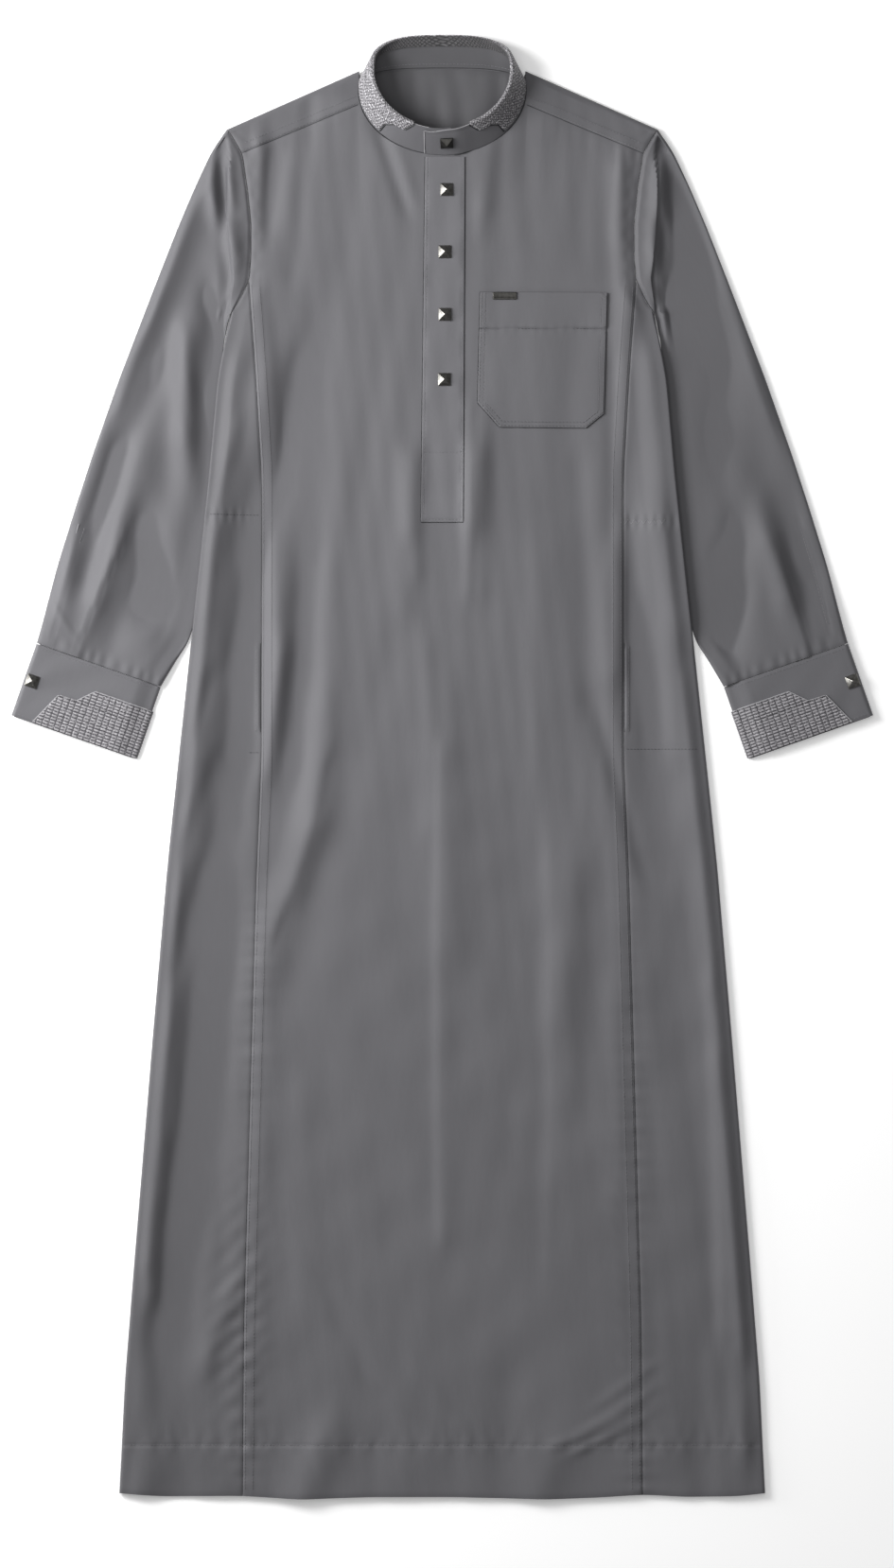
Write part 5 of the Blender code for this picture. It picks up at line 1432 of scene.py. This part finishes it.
def bodyStitches():
    runs = []
    levels = np.arange(hemY(np.array(190.0)) + 6, robe["joinY"] - 3, 1.2)
    for side in (-1, 1):
        for inFrom in (2.4, 10.6):
            line = np.column_stack([side * (sideSeam(levels) - inFrom), levels])
            runs += stitchRuns(laidOn(topHeight, line, 0.12), 5)
        half = np.linspace(88, 201, 60)
        for up in (2.2, 9.4):
            runs += stitchRuns(laidOn(topHeight, np.column_stack([side * half, yokeSeamY(half) + up]), 0.12), 6)
    across, dark, pale = np.linspace(-318, 318, 300), [], []
    runs += stitchRuns(laidOn(topHeight, np.column_stack([across, np.full(300, robe["hemStitchY"])]), 0.1), 7)
    out = np.linspace(2, 53, 30)
    dark += stitchRuns(laidOn(topHeight, np.column_stack([-(183.8 + out), sideShape["joins"][0] + 0.02 * out]), 0.1), 8)
    dark += stitchRuns(laidOn(topHeight, np.column_stack([183.8 + out * 1.42, np.full(30, 18.5)]), 0.1), 8)
    dark += stitchRuns(laidOn(topHeight, np.column_stack([-(184 + out[:8]), np.full(8, 15.0)]), 0.1), 8)
    rightJoin = sideShape["joins"][1]
    for number in range(13):
        start, rise = 185.5 + 3.1 * number, 2.2 * (-1) ** number
        line = laidOn(topHeight, [(start, rightJoin - rise), (start + 3.1, rightJoin + rise)], 0.12)
        pale.append((line, np.ones(len(line))))
    slit = np.linspace(*sideShape["slit"], 60)
    for side in (-1, 1):
        runs += stitchRuns(laidOn(topHeight, np.column_stack([side * (sideSeam(slit) + 5.2), slit]), 0.12), 9)
    return [threadMesh("bodyStitches", runs, sewing["thread"], threadCloth),
            threadMesh("joinStitches", dark, sewing["thread"], darkThreadAndShade),
            threadMesh("joinZigzag", pale, sewing["thread"] * 0.8, threadSoft)]


def cuffStitches():
    runs, lines = [], []
    for side in (-1, 1):
        for up in (3.2, 73.6):
            runs += stitchRuns(cuffLine(side, up, 6, 128, 0.02), 11)
        # dark cords that paint shade: one sunk in the cuff seam, one along the cuff's lower edge as its shadow line
        lines += cordRun(cuffLine(side, 77.3, 3.5, 130, -0.8))
        lines += cordRun(cuffLine(side, -0.15, 3.5, 131, 0.3))
    return [threadMesh("cuffStitches", runs, sewing["thread"], threadCloth),
            threadMesh("cuffShadeLines", lines, 0.24, darkThreadAndShade)]


def cuffTrimEdgeHighlights():
    # light cords along the trim's stepped and upper edges: painted highlights where the edges catch the light
    runs = []
    for side in (-1, 1):
        corners = [(start, max(up, 0.8)) for up, start in cuffTrimShape["steps"]]
        corners.append((cuffShape["long"] - 5, cuffTrimShape["deep"]))
        run, up = (np.array(v, float) for v in zip(*corners))
        far = np.concatenate([[0], np.cumsum(np.hypot(np.diff(run), np.diff(up)))])
        at = np.linspace(0, far[-1], 110)
        run, up = np.interp(at, far, run), np.interp(at, far, up)
        x, y = cuffSpot(side, run, up)
        runs += cordRun(np.column_stack([x, y, cuffTop(run, up, side) + 1.25]), 1.8)
    return threadMesh("cuffTrimEdgeHighlights", runs, 0.5, paintedHighlightCord)


def placketStitches():
    low, high = placketShape["low"], placketShape["high"]
    bottom, top, cross = placketShape["lowY"], placketShape["highY"], placketShape["stitchY"]

    def outline(off):
        # up the left side from the top, round the bottom and up the right side
        return [(high[0] + off, top), (low[0] + off, bottom + off), (low[1] - off, bottom + off), (high[1] - off, top)]

    runs = stitchRuns(laidOn(placketTop, outline(2.6), 0.06), 12)
    runs += stitchRuns(laidOn(placketTop, [(-19, cross), (19.5, cross)], 0.10), 13)
    # a dark cord just outside its edge paints the shadow gap under the strip
    lines = cordRun(laidOn(topHeight, outline(-0.5), 0.35), 2.4)
    return runs, lines


def pocketStitches():
    (lowL, lowLY, lowR, lowRY), (midL, midLY, midR, midRY), (upL, upLY, upR, upRY) = pocketShape["rows"]

    def outline(off):
        slant = off * 0.45
        return [(upL + off, upLY), (midL + off, midLY + slant), (lowL + slant, lowLY + off),
                (lowR - slant, lowRY + off), (midR - off, midRY + slant), (upR - off, upRY)]

    runs = []
    for off in (1.6, 5.6):
        runs += stitchRuns(laidOn(pocketTop, outline(off), 0.05), 14)
    bar = laidOn(pocketTop, [(upR - 6.2, upRY - 1.2), (upR - 1.2, upRY - 6.2)], 0.2)
    bars = [(bar + np.array([a, a, 0]), np.ones(len(bar))) for a in (-0.6, 0.0, 0.6)]
    # a dark cord round its edge paints the shadow gap under the pocket; the dark stitches along its hem also paint the
    # shade under the hem
    lines = cordRun(laidOn(topHeight, outline(-0.4) + [(upL - 0.4, upLY)], 0.5), 2.4)
    lines += stitchRuns(laidOn(pocketTop, [(37.5, 445.2), (165, 445.2)], -0.05), 15)
    return runs, bars, lines


def ventStitches():
    # The sleeve's opening by its outer edge, closed with a bound strip and one row of stitches.
    runs, binding = [], []
    for side in (-1, 1):
        down = np.linspace(0.765, 0.955, 60)
        x, y = sleeveOuter(down)
        inX, inY = sleeveInner(down)
        width = np.hypot(x - inX, y - inY)
        for away, above in ((9.0, 0.9), (15.5, 0.15)):
            spotX = x + (inX - x) * away / width
            spotY = y + (inY - y) * away / width
            nearCuff = smooth((down - 0.84) / 0.14)
            high = robe["top"] + (cuffShape["high"] - robe["top"]) * nearCuff
            z = high + 0.55 + above * 0.5 + 0.25 * nearCuff
            spots = np.column_stack([side * spotX, spotY, z])
            if away < 10:
                binding += cordRun(spots, 4.0) if side < 0 else []
            else:
                runs += stitchRuns(spots, 16)
    return runs, binding


def collarLines():
    # Painted highlights: light cords on the rolled edges and light stitches along the rim. Painted shadows: dark lines
    # under the trim's ends, at the collar's foot and along the neck seam.
    tall, wall = bandShape["tall"], bandShape["wall"]
    light, dark = [], []

    def around(first, last, up, out):
        turn = np.linspace(first, last, 160)
        level = np.full(turn.shape, up) * tabFall(turn)
        return bandPoint(turn, level, out + bandOut(turn))

    tabTop = 360 + degrees(asin(bandShape["tabEndX"] / rim["half"]))
    light += cordRun(around(337.5, tabTop - 0.4, 1.0, -wall / 2 + 0.3))
    light += cordRun(around(11, 24, 1.0, -wall / 2))
    up = np.linspace(0.05, 1.0, 24)
    end = 360 + np.degrees(np.arcsin(bandShape["tabEndX"] / (neck["half"] + (rim["half"] - neck["half"]) * up)))
    light += cordRun(bandPoint(end - 0.1, up * tabFall(end), bandOut(end) + 0.22))
    speck = stitchRuns(around(40, 320, 1.0 + 2.2 / tall, -wall / 2), 22)
    dark += cordRun(around(108, 252, 0.05, -wall - 0.15))
    dark += cordRun(around(14, 352, 0.0, 0.45))
    for mirror in (0, 1):
        depth = np.array([s[0] for s in collarTrimShape["steps"]], float)
        start = np.array([s[1] for s in collarTrimShape["steps"]], float) - 1.1
        fine = np.linspace(0, depth[-1], 60)
        turn = collarTrimShape["turns"][0] + np.degrees(np.interp(fine, depth, start) / 74)
        if mirror:
            turn = collarTrimShape["turns"][1] - np.degrees(np.interp(fine, depth, start) / 74)
        under = bandPoint(turn, 1 - fine / tall, np.full(60, 0.3) + bandOut(turn))
        dark += [(resample(under, 1.6), np.full(len(resample(under, 1.6)), 2.3))]
    inner = stitchRuns(around(118, 242, 0.17, -wall - 0.1), 21)
    return [threadMesh("collarEdgeHighlights", light, sewing["edge"], paintedHighlightCord),
            threadMesh("collarShadeLines", dark, sewing["shadeCordRadius"], darkThreadAndShade),
            threadMesh("collarStitches", inner, sewing["thread"], threadCloth),
            threadMesh("collarRimHighlights", speck, 0.34, paintedHighlightCord)]


print("robe: shapes and finishes are ready")

frontPanel()
backPanel()
sidePanel("sidePanelLeft", "side_panel_left", -1, clothLeftPanelShaded)
sidePanel("sidePanelRight", "side_panel_right", 1, clothPaint)
yoke()
print("robe: panels are cut")
sleeve("sleeveLeft", "sleeve_left", -1)
sleeve("sleeveRight", "sleeve_right", 1)
cuff("cuffLeft", "cuff_left", -1)
cuff("cuffRight", "cuff_right", 1)
cuffTrim("cuffTrimLeft", "cuff_trim_left", -1)
cuffTrim("cuffTrimRight", "cuff_trim_right", 1)
print("robe: sleeves and cuffs are set")
collarBand()
collarTrim()
placket()
chestPocket()
pocketPlate()
print("robe: collar, placket and pocket are on")

stud = modelStud()
for number, (x, y) in enumerate(studShape["front"], 1):
    z = float(placketTop(np.array(x), np.array(y)))
    putStud(stud, "studFront%d" % number, "stud_front_%d" % number, (x, y, z + 0.2), (0, 0, 1), 0)
for side, name, node in ((-1, "studCuffLeft", "stud_cuff_left"), (1, "studCuffRight", "stud_cuff_right")):
    x, y = cuffSpot(side, *studShape["cuff"])
    putStud(stud, name, node, (x, y, cuffShape["high"] + 0.3), (0, 0, 1), side * radians(cuffShape["turn"]))
collarTurn = 360 - degrees(asin(studShape["collarX"] / 80))
at = bandPoint(np.array(collarTurn), np.array(0.5), np.array(float(bandOut(np.array(collarTurn))) + 0.5))
near = bandPoint(np.array(collarTurn), np.array(0.5), np.array(5.0 + float(bandOut(np.array(collarTurn)))))
collarStud = putStud(stud, "studCollar", "stud_collar", at, near - at, 0)
# the collar stud takes the darker metal: painted shade on a stud that faces away from the light
collarStud.data.materials[0] = gunmetalDark
bpy.data.objects.remove(stud, do_unlink=True)
print("robe: studs are on")

seamShadeCords()
bodyStitches()
cuffStitches()
placketRuns, placketShadeLines = placketStitches()
pocketRuns, pocketBars, pocketShadeLines = pocketStitches()
threadMesh("placketStitches", placketRuns, sewing["thread"], threadCloth)
threadMesh("pocketStitches", pocketRuns, sewing["thread"], threadCloth)
threadMesh("pocketBar", pocketBars, 0.35, threadCloth)
threadMesh("placketShadeLine", placketShadeLines, sewing["outline"], darkThreadAndShade)
threadMesh("pocketShadeLine", pocketShadeLines, sewing["outline"], darkThreadAndShade)
ventRuns, ventBinding = ventStitches()
threadMesh("ventStitches", ventRuns, sewing["thread"], threadCloth)
threadMesh("ventBinding", ventBinding, 0.8, threadCloth)
collarLines()
cuffTrimEdgeHighlights()
print("robe: seams, stitches and edges are sewn")
studio = {
    "floor": (0.95, 0.95, 0.95), "floorGlow": 0.25,     # the table is faintly lit from beneath
    "sky": 0.31, "skyLow": 0.1, "cameraHigh": 9.0,
    "lamps": {    # where each stands, what it is aimed at, its size and its power
        "keyLight": ((-1.5, 0.75, 1.25), (0, 0, 0), (0.9, 0.9), 50.0),
        "overheadLight": ((0.0, 0.3, 1.7), (0, 0, 0), (1.2, 1.2), 6.8),
        "lowLight": ((-1.7, 0.1, 0.42), (0, 0.1, 0.05), (1.2, 0.5), 12.5),
    },
}
deselect()
bpy.ops.mesh.primitive_plane_add(size=14, location=(0, 0, -0.0002))
floor = bpy.context.object
floor.name = "floor"
floorPaint, nodes, links, shader = newPaint("floorPaper")
shader.inputs["Base Color"].default_value = (*studio["floor"], 1)
shader.inputs["Roughness"].default_value = 0.9
shader.inputs["Specular IOR Level"].default_value = 0.1
shader.inputs["Emission Color"].default_value = (1, 1, 1, 1)
shader.inputs["Emission Strength"].default_value = studio["floorGlow"]
floorPaint.cycles.emission_sampling = "NONE"
floor.data.materials.append(floorPaint)

world = bpy.data.worlds.new("studio")
bpy.context.scene.world = world
world.use_nodes = True
# the sky is brightest overhead and dim by the horizon
nodes, links = world.node_tree.nodes, world.node_tree.links
where = nodes.new("ShaderNodeTexCoord")
parts = nodes.new("ShaderNodeSeparateXYZ")
links.new(where.outputs["Generated"], parts.inputs["Vector"])
climb = nodes.new("ShaderNodeMapRange")
climb.inputs["From Min"].default_value = 0.05
climb.inputs["From Max"].default_value = 0.9
climb.inputs["To Min"].default_value = studio["sky"] * studio["skyLow"]
climb.inputs["To Max"].default_value = studio["sky"]
links.new(parts.outputs["Z"], climb.inputs["Value"])
links.new(climb.outputs["Result"], nodes["Background"].inputs["Strength"])
nodes["Background"].inputs["Color"].default_value = (1, 1, 1, 1)


def softbox(name, place, aim, size, power):
    light = bpy.data.lights.new(name, "AREA")
    light.shape = "RECTANGLE"
    light.size, light.size_y = size
    light.energy = power
    lamp = bpy.data.objects.new(name, light)
    lamp.location = place
    lamp.rotation_mode = "QUATERNION"
    lamp.rotation_quaternion = (Vector(aim) - Vector(place)).to_track_quat("-Z", "Y")
    bpy.context.collection.objects.link(lamp)
    return lamp


for name, (place, aim, size, power) in studio["lamps"].items():
    softbox(name, place, aim, size, power)

camera = bpy.data.cameras.new("camera")
camera.sensor_width = 36
camera.lens = 36 * (studio["cameraHigh"] - 0.006) * 1000 / (1658 * 0.96)
camera.clip_end = 60
eye = bpy.data.objects.new("camera", camera)
eye.location = (0.0048, -0.0168, studio["cameraHigh"])
bpy.context.collection.objects.link(eye)
bpy.context.scene.camera = eye
bpy.context.scene.view_settings.view_transform = "Standard"
print("robe: floor, light and camera are placed")
